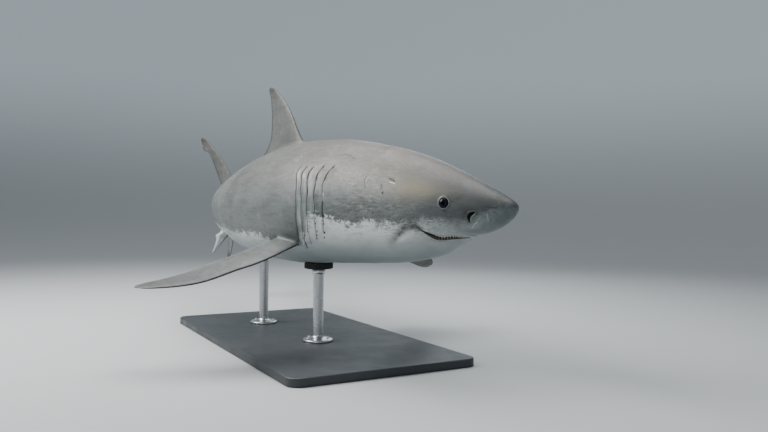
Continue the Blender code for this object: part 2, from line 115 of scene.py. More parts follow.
axisS = np.linspace(0, 102, 2041)
axisTurn = np.radians(headingCurve(axisS))


def runningSum(values, places):
    return np.concatenate([[0], np.cumsum((values[1:] + values[:-1]) / 2 * np.diff(places))])


axisX = snoutTip[0] - pc * runningSum(np.cos(axisTurn), axisS)
axisY = snoutTip[1] - pc * runningSum(np.sin(axisTurn), axisS)


def place(s, side, up):
    # World points: along the bent axis by s, then square off it by side, then up.
    s, side, up = np.broadcast_arrays(*(np.asarray(v, float) for v in (s, side, up)))
    turn = np.interp(s, axisS, axisTurn)
    x = np.interp(s, axisS, axisX) - pc * side * np.sin(turn)
    y = np.interp(s, axisS, axisY) + pc * side * np.cos(turn)
    return np.stack([x, y, snoutTip[2] + pc * up], -1)


def unplace(points):
    # The way back from world points to s, side and up: s is stepped until the point lies square off the
    # axis.
    s = np.full(points.shape[:-1], 40.0)
    for _ in range(12):
        turn = np.interp(s, axisS, axisTurn)
        gapX = points[..., 0] - np.interp(s, axisS, axisX)
        gapY = points[..., 1] - np.interp(s, axisS, axisY)
        s = np.clip(s - (gapX * np.cos(turn) + gapY * np.sin(turn)) / pc, 0, 101.5)
    side = (gapY * np.cos(turn) - gapX * np.sin(turn)) / pc
    return s, side, (points[..., 2] - snoutTip[2]) / pc


def fromBack(angle):
    # The angle from the middle of the back, 0 to 180 down either flank.
    return np.abs((angle + 180) % 360 - 180)


def sizesAt(s):
    return [curve(np.sqrt(np.maximum(s, 0))) for curve in sectionCurves]


def outline(s, angle):
    # Side and up of a section: a superellipse of one power above the widest level and another below it,
    # with the tail's keels as a narrow bell on each flank.
    back, belly, half, level = sizesAt(s)
    cos, sin = np.cos(np.radians(angle)), np.sin(np.radians(angle))
    power = np.where(cos >= 0, 2 / body["backPower"], 2 / body["bellyPower"])
    height = np.where(cos >= 0, back - level, level - belly)
    offKeel = np.degrees(np.arcsin(np.clip(np.abs(cos), 0, 1))) / body["keelSpread"]
    keel = np.where(s > body["keel"][0][0], keelCurve(s), 0) * np.exp(-(offKeel**2))
    side = np.sign(sin) * (half * np.abs(sin) ** power + keel)
    return side, level + height * np.sign(cos) * np.abs(cos) ** power


def sectionShares(s, side, up):
    # How far out and how far up a point lies, as shares of its section, the power there and the sign of up.
    back, belly, half, level = sizesAt(s)
    upper = up >= level
    height = np.where(upper, back - level, level - belly)
    power = np.where(upper, body["backPower"], body["bellyPower"])
    return np.abs(side) / half, np.abs(up - level) / height, power, np.sign(up - level)


def insideShare(s, side, up):
    # Below 1 inside the body and above 1 outside it: the superellipse's own sum.
    wide, tall, power, _ = sectionShares(s, side, up)
    return np.where(s > body["sections"][-1][0], outsideShare, wide**power + tall**power)


def angleOf(s, side, up):
    wide, tall, power, sign = sectionShares(s, side, up)
    return np.degrees(np.arctan2(np.sign(side) * wide ** (power / 2), sign * tall ** (power / 2)))


# ---- the head's relief
mouth = {
    "line": (  # angle, and s of the line where the lips meet; it runs on straight up the cheek
        (0, 10.3), (90, 10.3), (104, 10.2), (112, 9.9), (118.1, 9.38), (123, 8.86), (130, 8.38),
        (140, 7.77), (145.4, 7.28), (152.1, 6.84), (163, 6.46), (174.4, 6.04), (180, 5.96),
    ),
    "corner": 118.1,
    "cornerRow": 10.3,
    "open": (  # s, and height of the opening
        (5.0, 0.16), (6.1, 0.18), (6.6, 0.3), (7.1, 0.44), (7.7, 0.5), (8.4, 0.34), (9.0, 0.16),
        (9.4, 0.01),
    ),
    "slant": 0.72,  # height gained for each step back across the lips
    "throat": (11.5, 0.0, -2.5),  # the place that the mouth's inside runs towards: s, side, up
    "throatRise": 0.6,  # how much of the way up or down to the throat counts
    "rows": 17,
    "edge": (-0.5, 3.5), "swellingEdge": (-3, 8),  # degrees past the corner where lips begin, and are full
    "closing": ((0, 0.25, 0.5), (0.3, 0.8, 1)),  # share of the way out, and share of the gap there
    "pit": (0.7, 0.1), "pitDepth": (0.2, 0.65), "gumDepth": 0.1,  # painted shade inside the mouth, upper and lower; depths
    "lowerLip": (0.66, 0.14),  # place and reach of its pale edge
    "spread": 0.26,  # how far the lips' rows reach either side of the line, where the mouth is shut
    "profile": (  # share of the way out, distance from the gap's edge, depth
        (0, 0, 0.62), (0.125, 0, 0.57), (0.25, 0, 0.44), (0.375, 0, 0.25), (0.5, 0, 0.1),
        (0.625, 0.02, 0.01), (0.75, 0.08, -0.05), (0.875, 0.15, -0.04), (1, 0.26, 0),
    ),
    "swelling": (  # place behind the line, reach, height
        (-0.55, 0.4, 0.07), (0.5, 0.35, 0.05), (-1.3, 0.35, -0.04),
    ),
}
mouthLine = smoothCurve(mouth["line"])
mouthOpen = smoothCurve(mouth["open"])

gills = {
    "slits": (  # s at mid height, and how deep the slit is cut at each height
        (22.3, ((-3.4, 0), (-2.7, 0.6), (-1.7, 0.45), (-0.9, 0.3), (0.6, 0.3), (1.2, 0.12), (3.0, 0.12),
                (3.5, 0.75), (4.3, 0.8), (4.6, 0))),
        (23.55, ((-4.2, 0), (-3.6, 0.6), (-1.5, 1), (1.5, 1), (2.1, 0.2), (3.1, 0.15), (3.5, 0.8),
                 (4.3, 0.85), (4.65, 0))),
        (24.75, ((-4.7, 0), (-4.1, 0.8), (-2, 1), (0.9, 1), (1.7, 0.3), (3.3, 0.2), (3.7, 0.6), (4.2, 0.55),
                 (4.6, 0))),
        (25.7, ((-4.85, 0), (-4.2, 0.9), (-2, 1), (2.5, 1), (3.9, 0.8), (4.3, 0.6), (4.7, 0))),
        (26.55, ((-5.0, 0), (-4.4, 1), (-2, 1.1), (2.5, 1.1), (4.0, 0.9), (4.4, 0.6), (4.75, 0))),
    ),
    "bow": 0.062,  # how fast a slit curves back above and below its middle
    "level": -0.8,
    "reach": (-5.2, 4.9),
    "hook": (  # s at mid height, height where the slit's top starts to turn forward, and how far it goes
        (19, 2, 0), (21, 2, 0.9), (22.3, 2, 1.75), (23.55, 2, 1.35), (24.75, 3, 0.9), (25.7, 3.2, 0.75),
        (26.55, 3.4, 0.4), (28, 3.4, 0),
    ),
    "hookTop": 4.5,
    "wave": (0.045, 2.4, 2.1),  # size, and radians for each step of up and of s
    "bands": (-5.2, -4.4, 2.6, 4.2),  # up where the painted highlight bands start, are full, start to fade, and stop
    "upperFade": (0.5, -2.0, 0.5),  # how much weaker they are above, between these two heights
    "ahead": (0.75, 0.3, 0.2, 3.7, 0.6),  # the painted highlight ahead of a hook: strength, s, reach, up, reach
    "gillSheen": (  # s, reach and strength of the painted highlight bands
        (26.12, 0.27, 1), (25.24, 0.25, 0.8), (24.3, 0.3, 0.45),
    ),
    "follow": (15, 21, 27.6, 38),  # s where the rows start to follow the slits, do so fully, and stop
    "profile": (  # distance behind the slit's edge, and height of the skin there
        (-1.0, 0), (-0.6, 0.03), (-0.28, 0.13), (-0.1, 0.2), (-0.03, 0.17), (0.0, 0.04), (0.035, -0.22),
        (0.08, -0.42), (0.13, -0.4), (0.2, -0.16), (0.3, -0.04), (0.5, 0),
    ),
    "rows": (-0.3, -0.2, -0.12, -0.07, -0.03, 0.0, 0.025, 0.05, 0.08, 0.12, 0.16, 0.21, 0.28, 0.38),
}
slitProfile = smoothCurve(gills["profile"])

bumps = (  # s, angle, reach in s, reach in degrees, height
    (6.4, 68, 1.3, 9, 0.06),  # brow
    (6.7, 84, 1.3, 9, -0.06),  # hollow round the eye
    (8.6, 88, 1.5, 12, 0.03),
    (11.6, 100, 2.6, 9, 0.12),  # cheek above the fold
    (10.9, 128, 2.1, 10, 0.22),  # jaw muscle below it
    (4.0, 100, 1.0, 10, 0.05),  # nose, above the nostril
    (15.5, 84, 3.0, 16, 0.06),
    (19.5, 100, 2.2, 26, -0.08),  # in front of the gills
    (29.3, 100, 1.2, 34, 0.07),  # shoulder behind them
    (24.0, 42, 3.2, 6, 0.10), (21.0, 33, 2.4, 4, -0.05), (26.5, 32, 2.2, 4, -0.05),  # folds over the gills
)


crease = {  # the fold that runs back from the mouth's corner, and the painted shade along it
    "line": (  # s and angle
        (9.3, 117.9), (9.9, 113.3), (10.5, 111.6), (11.2, 113.4), (12, 117.7), (13.5, 129.3), (14.6, 137),
    ),
    "depth": 0.28, "width": 4.2, "start": (8.8, 10.0), "end": (11.8, 14.6),
    "shade": 0.9, "shadeWidth": 5.0, "shadeStart": (8.8, 9.6),
}
creaseAngle = smoothCurve(crease["line"])


def creaseAt(s, turn, width, start):
    # A bell across the fold, between its ends.
    return bump(turn - creaseAngle(s), width) * ramp(s, *start) * (1 - ramp(s, *crease["end"]))


def gillShift(row, angle):
    # How far back a row lies at an angle: a parabola of height, less a forward hook at its top, and a wave.
    _, up = outline(25.0, angle)
    up = np.clip(up, *gills["reach"])
    at, start, size = np.array(gills["hook"], float).T
    start, size = np.interp(row, at, start), np.interp(row, at, size)
    hook = size * np.clip((up - start) / (gills["hookTop"] - start), 0, 1.1) ** 2
    waveSize, perUp, perRow = gills["wave"]
    wave = waveSize * np.sin(perUp * up + perRow * row) * ramp(size, 0, 0.4)
    return gills["bow"] * (up - gills["level"]) ** 2 - hook + wave


def slitHeight(s, angle):
    # Each slit is one profile across it, scaled by its own table of depths.
    _, up = outline(s, angle)
    total = np.zeros(np.broadcast(s, angle).shape)
    for middle, depths in gills["slits"]:
        strength = np.interp(up, *np.array(depths).T)
        total = total + slitProfile(s - middle - gillShift(middle, angle)) * strength
    return total


def relief(s, angle):
    # Height of the skin over the smooth body: a sum of bells, the lips' swelling, the gill slits and a slow
    # waviness of the flesh.
    s, angle = np.broadcast_arrays(np.asarray(s, float), np.asarray(angle, float))
    turn = fromBack(angle)
    height = np.zeros(s.shape)
    for atS, atAngle, reachS, reachAngle, rise in bumps:
        height += rise * bump(s - atS, reachS) * bump(turn - atAngle, reachAngle)
    behind = s - mouthLine(turn)
    mouthShare = ramp(turn - mouth["corner"], *mouth["swellingEdge"])
    for middle, reach, rise in mouth["swelling"]:
        height += mouthShare * rise * bump(behind - middle, reach)
    height -= crease["depth"] * creaseAt(s, turn, crease["width"], crease["start"])
    height += slitHeight(s, turn)
    wave = np.sin(s * 1.3 + 2 * np.sin(np.radians(angle * 2))) + np.sin(s * 0.7 - np.radians(angle * 3))
    height += 0.012 * wave * ramp(s, 3, 12) * (1 - ramp(s, 60, 80))
    return height


def tangents(s, angle):
    # The surface's two directions, from small steps along s and round the angle, and the way out.
    low, high = np.maximum(s - 0.02, 0.001), s + 0.02
    along = (place(high, *outline(high, angle)) - place(low, *outline(low, angle))) / (high - low)[..., None]
    around = (place(s, *outline(s, angle + 0.2)) - place(s, *outline(s, angle - 0.2))) / 0.4
    out = np.cross(along, around)
    out /= np.linalg.norm(out, axis=-1)[..., None]
    level = sizesAt(s)[3]
    away = place(s, *outline(s, angle)) - place(s, 0, level)
    out *= np.sign((out * away).sum(-1))[..., None]
    return along, around, out


def skinPoint(s, angle, lift=0.0):
    # A point of the body's surface, moved out along its normal by the relief and any further lift.
    s, angle = np.broadcast_arrays(np.asarray(s, float), np.asarray(angle, float))
    out = tangents(s, angle)[2]
    height = relief(s, angle) * ramp(s, 0.2, 1.0) + lift
    return place(s, *outline(s, angle)) + pc * height[..., None] * out


# ---- the skin is gathered here, patch by patch, and made one mesh at the end
skin = {"points": [], "facts": [], "faces": [], "count": 0}
factNames = ("s", "angle", "kind", "fin", "span", "chord", "under", "pit", "gum", "pale")


def addPoints(points, **facts):
    # Keeps the points with what the colouring needs to know of them, and gives their numbers.
    shape = points.shape[:-1]
    columns = [np.broadcast_to(np.asarray(facts.get(name, 0.0), float), shape).ravel() for name in factNames]
    skin["points"].append(points.reshape(-1, 3))
    skin["facts"].append(np.stack(columns, 1))
    numbers = np.arange(skin["count"], skin["count"] + int(np.prod(shape))).reshape(shape)
    skin["count"] += numbers.size
    return numbers


def addQuads(a, b, c, d):
    skin["faces"].append(np.stack([a, b, c, d], -1).reshape(-1, 4))


def addTriangles(a, b, c):
    skin["faces"].append(np.stack([a, b, c], -1).reshape(-1, 3))


def addRing(near, points, **facts):
    # One more closed ring of the skin, joined to the last one by quads.
    far = addPoints(points, **facts)
    addQuads(near, np.roll(near, -1), np.roll(far, -1), far)
    return far


def closeRing(ring, point, **facts):
    # A fan of triangles from one point to the ring.
    middle = addPoints(point, **facts)[0]
    addTriangles(np.full(len(ring), middle), ring, np.roll(ring, -1))


def rowPlaces(first, last):
    # Places between first and last whose distance follows the table: equal steps of the running sum of
    # 1 / distance.
    fine = np.linspace(first, last, 6000)
    density = 1 / np.interp(fine, *np.array(body["spacing"]).T)
    total = runningSum(density, fine)
    return np.interp(np.linspace(0, total[-1], int(round(total[-1])) + 1), total, fine)


def columnAngles(count):
    # Even angles, moved towards the flanks by a sine of twice the angle.
    even = np.arange(count) * 360 / count
    return even + np.degrees(body["crowding"] / 2) * np.sin(np.radians(2 * even))


def warped(row, angle):
    # The s of a row at an angle: rows ahead of the mouth are squeezed under the snout so that one of them
    # is the mouth's line, those behind are stretched back, and those by the gills bow as the slits do.
    turn = fromBack(angle)
    line, corner, clear = mouthLine(turn), mouth["cornerRow"], 20.0
    ahead = row * line / corner
    behind = line + (row - corner) * (clear - line) / (clear - corner)
    s = np.where(row < corner, ahead, np.where(row < clear, behind, row))
    start, full, end, stop = gills["follow"]
    return s + ramp(row, start, full) * (1 - ramp(row, end, stop)) * gillShift(row, turn)


def frontRows():
    # Rows of the front, as row and place in the lips (nan away from them).
    rows = rowPlaces(0.02, body["halvedAt"])
    corner, spread = mouth["cornerRow"], mouth["spread"]
    rows = rows[np.abs(rows - corner) > spread + 0.05]
    for middle, _ in gills["slits"]:
        offsets = np.array(gills["rows"])
        rows = rows[(rows < middle + offsets[0] - 0.05) | (rows > middle + offsets[-1] + 0.05)]
        rows = np.concatenate([rows, middle + offsets])
    lips = np.linspace(-1, 1, mouth["rows"])
    rows = np.concatenate([rows, corner + spread * lips])
    share = np.concatenate([np.full(len(rows) - len(lips), np.nan), lips])
    order = np.argsort(rows)
    return rows[order], share[order]


def asGrid(numbers, rows, s, angles):
    return {"numbers": numbers, "rows": rows, "s": s, "angles": angles, "kept": np.ones(s.shape, bool)}


def frontBody():
    rows, lips = frontRows()
    angles = columnAngles(body["columns"])
    row, angle = rows[:, None], angles[None, :]
    s = warped(row, angle)
    angle = np.broadcast_to(angle, s.shape)
    turn = fromBack(angle)
    # The lips: where the mouth is, their rows leave the even spread for the mouth's own profile.
    isLip = np.broadcast_to(~np.isnan(lips)[:, None], s.shape)
    place01 = np.abs(np.nan_to_num(lips))[:, None]
    share, distance, depth = np.array(mouth["profile"]).T
    inMouth = ramp(turn - mouth["corner"], *mouth["edge"]) * isLip
    line = mouthLine(turn)
    gap = mouthOpen(line) / 2 / mouth["slant"]
    closing = np.interp(place01, *mouth["closing"])
    offset = np.sign(np.nan_to_num(lips))[:, None] * (gap * closing + np.interp(place01, share, distance))
    s = np.where(isLip, (1 - inMouth) * s + inMouth * (line + offset), s)
    deep = inMouth * np.interp(place01, share, depth)
    points = skinPoint(s, angle)
    side, up = outline(s, angle)
    throatS, throatSide, throatUp = mouth["throat"]
    way = np.stack([throatS - s, throatSide - side, mouth["throatRise"] * (throatUp - up)], -1)
    way /= np.linalg.norm(way, axis=-1)[..., None]
    moved = place(s + way[..., 0] * deep, side + way[..., 1] * deep, up + way[..., 2] * deep)
    points = points + (moved - place(s, side, up))
    isLower = np.nan_to_num(lips)[:, None] > 0
    # painted shade inside the mouth, growing with depth, darker on the upper side
    upperShade, lowerShade = mouth["pit"]
    pit = np.where(isLower, lowerShade, upperShade) * ramp(deep, *mouth["pitDepth"])
    gum = np.clip(deep / mouth["gumDepth"], 0, 1)
    lipMiddle, lipReach = mouth["lowerLip"]
    lowerLip = inMouth * bump(place01 - lipMiddle, lipReach) * isLower
    numbers = addPoints(points, s=s, angle=angle, pit=pit, gum=gum, pale=lowerLip)
    closeRing(numbers[0], place(0, 0, 0)[None, :], s=0)
    return asGrid(numbers, rows, s, angles)


def rearBody(front):
    # The rear has every second column; its first row is the front's last.
    rows = rowPlaces(body["halvedAt"], body["sections"][-1][0])[1:]
    angles = front["angles"][::2]
    s, angle = np.broadcast_arrays(rows[:, None], angles[None, :])
    numbers = addPoints(skinPoint(s, angle), s=s, angle=angle)
    fine, first = front["numbers"][-1], numbers[0]
    addTriangles(fine[::2], fine[1::2], first)
    addTriangles(fine[1::2], np.roll(first, -1), first)
    addTriangles(fine[1::2], np.roll(fine, -2)[::2], np.roll(first, -1))
    closeRing(numbers[-1], place(body["sections"][-1][0] + 0.1, 0, 0)[None, :], s=rows[-1])
    return asGrid(numbers, rows, s, angles)


def closeGrid(grid):
    # Quads of the grid's cells, apart from the windows that the patches have taken.
    numbers = grid["numbers"]
    onward = np.roll(numbers, -1, axis=1)
    kept = grid["kept"][:-1]
    addQuads(*(cells[kept] for cells in (numbers[:-1], onward[:-1], onward[1:], numbers[1:])))


def window(grid, reach, hand):
    # Takes a window out of the grid and gives its edge as a closed loop: point numbers, s and angle.
    rowRange, (low, high) = reach
    angleRange = (low, high) if hand > 0 else (-high, -low)
    count = len(grid["angles"])
    first, last = np.searchsorted(grid["rows"], rowRange)
    wide = np.concatenate([grid["angles"] - 360, grid["angles"], grid["angles"] + 360])
    left, right = np.searchsorted(wide, angleRange) - count
    columns = np.arange(left, right + 1)
    turns = wide[columns + count]
    grid["kept"][first:last, columns[:-1] % count] = False
    rows = np.arange(first, last + 1)
    order = np.arange(len(columns))
    across, down = np.ones(len(columns) - 1, int), np.ones(len(rows) - 1, int)
    loopRows = np.concatenate([first * across, rows[:-1], last * across, rows[:0:-1]])
    loopColumns = np.concatenate([order[:-1], order[-1] * down, order[:0:-1], 0 * down])
    cells = loopRows, columns[loopColumns] % count
    return grid["numbers"][cells], grid["s"][cells], turns[loopColumns]


front = frontBody()
rear = rearBody(front)
print("body rows", len(front["rows"]), len(rear["rows"]))

# ---- eyes and nostrils: a window of the grid is refilled with rings that close in on the feature
eyes = {
    "seat": (6.62, 82.9),  # s and angle
    "radius": 0.027, "depth": 0.020,  # the eyeball, and its flatter front to back
    "sides": 56, "rows": 27,
    "pupil": (0.001, 0.001, 0.0015), "iris": ((0.010, 0.014, 0.019), (0.016, 0.021, 0.028)),
    "rim": (0.008, 0.008, 0.009), "pupilEdge": (0.36, 0.42), "rimEdge": (0.78, 0.84),  # shares of the radius
    # the socket is painted dark, as shade, within the last of these radii
    "sunk": 0.0125, "shadeWithin": 0.021,
    "window": ((5.35, 7.95), (64, 97.5)),
    "rings": (  # radius, height of the skin there, m, and how pale it is
        (0.0315, 0, 0), (0.029, 0.0005, 0), (0.0272, 0.0012, 0), (0.0258, 0.0018, 0.05),
        (0.0244, 0.0023, 0.3), (0.0232, 0.0023, 0.7), (0.0222, 0.0018, 0.8), (0.0214, 0.0008, 0.3),
        (0.0208, -0.0014, 0), (0.0198, -0.005, 0), (0.017, -0.0075, 0), (0.010, -0.009, 0),
    ),
}
nostrils = {
    "ends": ((3.52, 102.0), (4.2, 125.5)),
    "window": ((3.3, 8.2), (97.5, 146)),
    "rings": (  # how far outside the slit, depth, shift of its front lip over it, m, and how pale it is
        (0.0085, 0, 0, 0), (0.0072, -0.0008, 0.0, 0.1), (0.0055, -0.0020, 0.0, 0.5),
        (0.0036, -0.0030, 0.0010, 1), (0.0018, -0.0024, 0.0018, 1), (0.0005, 0.0004, 0.0020, 0.3),
        (-0.0006, 0.004, 0.0012, 0), (-0.0018, 0.009, 0.0, 0), (-0.0032, 0.014, 0.0, 0),
    ),
    "halfWidth": 0.0072,
    "paleWay": 2.4,  # the direction round the slit in which the pale skin lies, in radians
    "curve": 0.012,  # how far the slit's middle bows back, m
}


def localFrame(s, angle):
    # The seat, unit directions back along the body and round it, the way out, and metres for each step.
    along, around, out = (v[0] for v in tangents(np.array([s]), np.array([float(angle)])))
    perS, perAngle = np.linalg.norm(along), np.linalg.norm(around)
    return place(s, *outline(s, angle)), along / perS, around / perAngle, out, perS, perAngle


def featureRings(grid, seat, hand, reach, shapes, lifts, pits, pales, blendSteps, paleWay=None):
    # Rings from the window's edge inwards: first a straight blend to the outermost shape, then each shape.
    # A shape gives, for a direction, the place on the flat round the seat; lifts say how far it stands out.
    numbers, s, angle = window(grid, reach, hand)
    seatS, seatAngle = seat[0], seat[1] * hand
    perS, perAngle = localFrame(seatS, seatAngle)[4:]
    edge = np.stack([(s - seatS) * perS, (angle - seatAngle) * perAngle], 1)
    direction = np.arctan2(edge[:, 1] * hand, edge[:, 0])
    paleShare = 1 if paleWay is None else np.clip(0.2 + 0.8 * np.cos(direction - paleWay), 0, 1)
    outer = shapes(0, direction)
    outer[:, 1] *= hand
    rings = [(edge + (outer - edge) * step / blendSteps, 0, 0, 0) for step in range(1, blendSteps)]
    for k, values in enumerate(zip(lifts, pits, pales)):
        flat = shapes(k, direction)
        flat[:, 1] *= hand
        rings.append((flat, *values))
    for flat, lift, pit, pale in rings:
        ringS, ringAngle = seatS + flat[:, 0] / perS, seatAngle + flat[:, 1] / perAngle
        numbers = addRing(numbers, skinPoint(ringS, ringAngle, lift / pc), s=ringS, angle=ringAngle, pit=pit,
                          pale=pale * paleShare)
    middle = skinPoint(np.array([ringS.mean()]), np.array([ringAngle.mean()]), lifts[-1] / pc)
    closeRing(numbers, middle, s=seatS, angle=seatAngle, pit=pits[-1])


def eyeSocket(hand):
    radii, lifts, pales = np.array(eyes["rings"]).T

    def circle(k, direction):
        return radii[k] * np.stack([np.cos(direction), np.sin(direction)], 1)

    # painted shade on the socket's sunk rings round the eyeball
    pits = (radii < eyes["shadeWithin"]) * 1.0
    featureRings(front, eyes["seat"], hand, eyes["window"], circle, lifts, pits, pales, 4)


def nostril(hand):
    (firstS, firstAngle), (lastS, lastAngle) = nostrils["ends"]
    seat = (firstS + lastS) / 2, (firstAngle + lastAngle) / 2
    perS, perAngle = localFrame(*seat)[4:]
    reach = np.array([(lastS - firstS) * perS, (lastAngle - firstAngle) * perAngle]) / 2
    halfLength = np.linalg.norm(reach)
    lengthways = reach / halfLength
    across = np.array([lengthways[1], -lengthways[0]])
    outside, depth, shift, pales = np.array(nostrils["rings"]).T

    def slit(k, direction):
        # An ellipse round the slit, grown by the ring's distance, with the front lip moved over it.
        turn = direction - np.arctan2(lengthways[1], lengthways[0])
        a, b = halfLength + outside[k] * 0.7, nostrils["halfWidth"] + outside[k]
        b = max(b, 0.0006) * (1 - 0.35 * np.cos(turn))
        flat = a * np.cos(turn)[:, None] * lengthways - (b * np.sin(turn))[:, None] * across
        flat = flat + (nostrils["curve"] * np.sin(turn) ** 2)[:, None] * across
        forward = np.clip(np.sin(turn), 0, 1)
        return flat + (shift[k] * forward * bump(np.cos(turn), 0.6))[:, None] * across

    # painted shade deepening into the nostril
    pits = 0.9 * ramp(depth, -0.001, 0.009)
    featureRings(front, seat, hand, nostrils["window"], slit, -depth, pits, pales, 5, nostrils["paleWay"])


for hand in (1, -1):
    eyeSocket(hand)
    nostril(hand)
print("eye sockets and nostrils made")

# ---- fins
fins = {
    "first_dorsal": {
        "rows": (  # height, leading edge, trailing edge
            (6.0, 33.2, 46.2), (6.6, 33.4, 46.9), (7.05, 33.6, 47.6), (7.4, 33.8, 48.2),
            (7.6, 33.95, 49.3), (7.95, 34.3, 48.5), (8.6, 34.9, 47.5), (9.7, 36.0, 46.35),
            (10.8, 36.95, 45.95), (12, 37.9, 45.8), (13.2, 38.95, 45.8), (14.3, 40.15, 45.95),
            (15.5, 41.75, 46.2), (16.5, 43.35, 46.6), (17.2, 44.7, 47.0), (17.5, 45.6, 47.0),
            (17.6, 46.1, 46.8),
        ),
        "window": ((32.6, 49.7), (-27, 27)), "thickness": 0.10, "fillet": 0.022, "rings": 44, "kind": 1,
    },
    "second_dorsal": {
        "rows": (
            (1.4, 69.8, 72.6), (2.0, 70.3, 72.6), (2.65, 71.1, 72.9), (2.9, 71.4, 74.3), (3.2, 71.75, 73.5),
            (3.8, 72.5, 73.35), (4.25, 73.1, 73.6), (4.35, 73.3, 73.5),
        ),
        "window": ((69.2, 75.2), (-60, 60)), "thickness": 0.11, "fillet": 0.007, "rings": 22, "kind": 1,
    },
    "anal": {
        "rows": (
            (-1.2, 71.7, 74.6), (-1.7, 72.2, 74.6), (-2.3, 73.0, 74.9), (-2.6, 73.4, 76.3),
            (-2.95, 73.8, 75.5), (-3.5, 74.5, 75.4), (-3.95, 75.1, 75.6), (-4.05, 75.3, 75.5),
        ),
        "window": ((71.0, 76.9), (120, 240)), "thickness": 0.11, "fillet": 0.007, "rings": 22, "kind": 2,
    },
    "caudal_upper": {
        "rows": (
            (-0.2, 82.1, 88.9), (0.5, 83.0, 89.0), (1.3, 84.0, 89.4), (3.0, 85.7, 91.3),
            (5.0, 87.5, 93.4), (7.0, 89.3, 94.7), (9.0, 91.8, 95.9), (10.6, 93.7, 97.0),
            (11.4, 94.7, 97.6), (11.9, 95.3, 99.2), (12.7, 96.3, 99.5), (13.6, 97.5, 99.9),
            (14.4, 98.9, 100.1), (14.6, 99.5, 100.0),
        ),
        "window": ((82.2, 88.95), (-72, 72)), "thickness": 0.10, "fillet": 0.010, "rings": 50, "kind": 3,
    },
    "caudal_lower": {
        "rows": (
            (0.2, 82.1, 88.9), (-0.4, 83.0, 88.7), (-1.2, 83.7, 88.5), (-2.8, 84.7, 88.6),
            (-4.8, 85.6, 88.9), (-6.8, 86.5, 89.3), (-8.4, 87.3, 89.7), (-9.6, 88.1, 90.0),
            (-10.3, 88.9, 90.1), (-10.5, 89.3, 90.0),
        ),
        "window": ((82.2, 88.95), (108, 252)), "thickness": 0.10, "fillet": 0.010, "rings": 38, "kind": 3,
    },
    "pectoral": {
        "rows": (  # distance out along the fin, leading edge, trailing edge, from the root point
            (-3.0, 2.6, 4.4), (-0.6, 1.6, 4.5), (0.3, 1.45, 4.85), (0.9, 1.4, 5.15), (2.4, 1.15, 5.5),
            (4.6, 0.75, 5.8), (7, 0.6, 5.85), (9.5, 1.1, 6.2), (12, 1.75, 6.8), (14.2, 2.6, 7.25),
            (16, 3.5, 7.3), (17.4, 4.6, 7.5), (18.3, 5.7, 7.5), (18.7, 6.6, 7.4), (18.8, 6.85, 7.2),
        ),
        "root": (26.5, 5.6, -5.0),
        "drop": (9, 15.5), "pitch": (-12, 6.5), "rootLift": (0, 0.7), "sag": (-0.5, 0.4),  # left and right
        "window": ((26.95, 34.8), (106, 158)), "thickness": 0.105, "fillet": 0.024, "rings": 46, "kind": 4,
    },
    "pelvic": {
        "rows": (
            (-1.2, -0.8, 4.6), (0.1, 0.2, 5.0), (0.45, 0.5, 6.3), (1.05, 1.1, 5.2), (1.9, 1.9, 4.5),
            (2.7, 2.6, 4.25), (3.3, 3.3, 4.2), (3.4, 3.5, 4.15),
        ),
        "root": (51.3, 4.6, -4.3), "drop": (66, 66), "pitch": (0, 0), "rootLift": (0, 0), "sag": (0, 0),
        "window": ((50.7, 58.4), (108, 160)), "thickness": 0.08, "fillet": 0.009, "rings": 26, "kind": 5,
    },
    "edge": 0.0009,  # half the thickness of a trailing edge, m
    "rootSwell": 0.45,  # how much thicker a paired fin is where it leaves the body
    "swellReach": 1.6, "rootLiftReach": 2, "sagAt": (13.5, 3.4),  # distances out along a paired fin
    "fillet": (0.2, 0.4, 0.6, 0.8, 1.0),  # how far up the fillet each of its rings lies
    "ringGap": 0.016,  # metres between the rings round a fin's foot
}


def finSection(chord, share, thickness):
    # Half thickness of a streamlined section: the usual four-figure polynomial, and a thin edge at its end.
    shape = 0.2969 * np.sqrt(share) - 0.1260 * share - 0.3516 * share**2
    shape = shape + 0.2843 * share**3 - 0.1015 * share**4
    return 5 * thickness * chord * shape + fins["edge"] / pc * share


def finTable(fin):
    # Leading and trailing edge as curves of the distance along the fin, and that distance from root to tip.
    rows = np.array(fin["rows"])
    flip = np.sign(rows[-1, 0] - rows[0, 0])
    lead, trail = smoothCurve(rows[:, (0, 1)] * (flip, 1)), smoothCurve(rows[:, (0, 2)] * (flip, 1))
    return lead, trail, rows[0, 0] * flip, rows[-1, 0] * flip, flip


def medianFin(fin):
    # A point of the fin from the direction round its section and the distance along it.
    lead, trail, first, last, flip = finTable(fin)

    def point(turn, distance):
        share = (1 + np.cos(turn)) / 2
        front, chord = lead(distance), trail(distance) - lead(distance)
        half = finSection(chord, share, fin["thickness"]) * np.sign(np.sin(turn))
        return place(front + share * chord, flip * half, flip * distance)

    return point, first, last


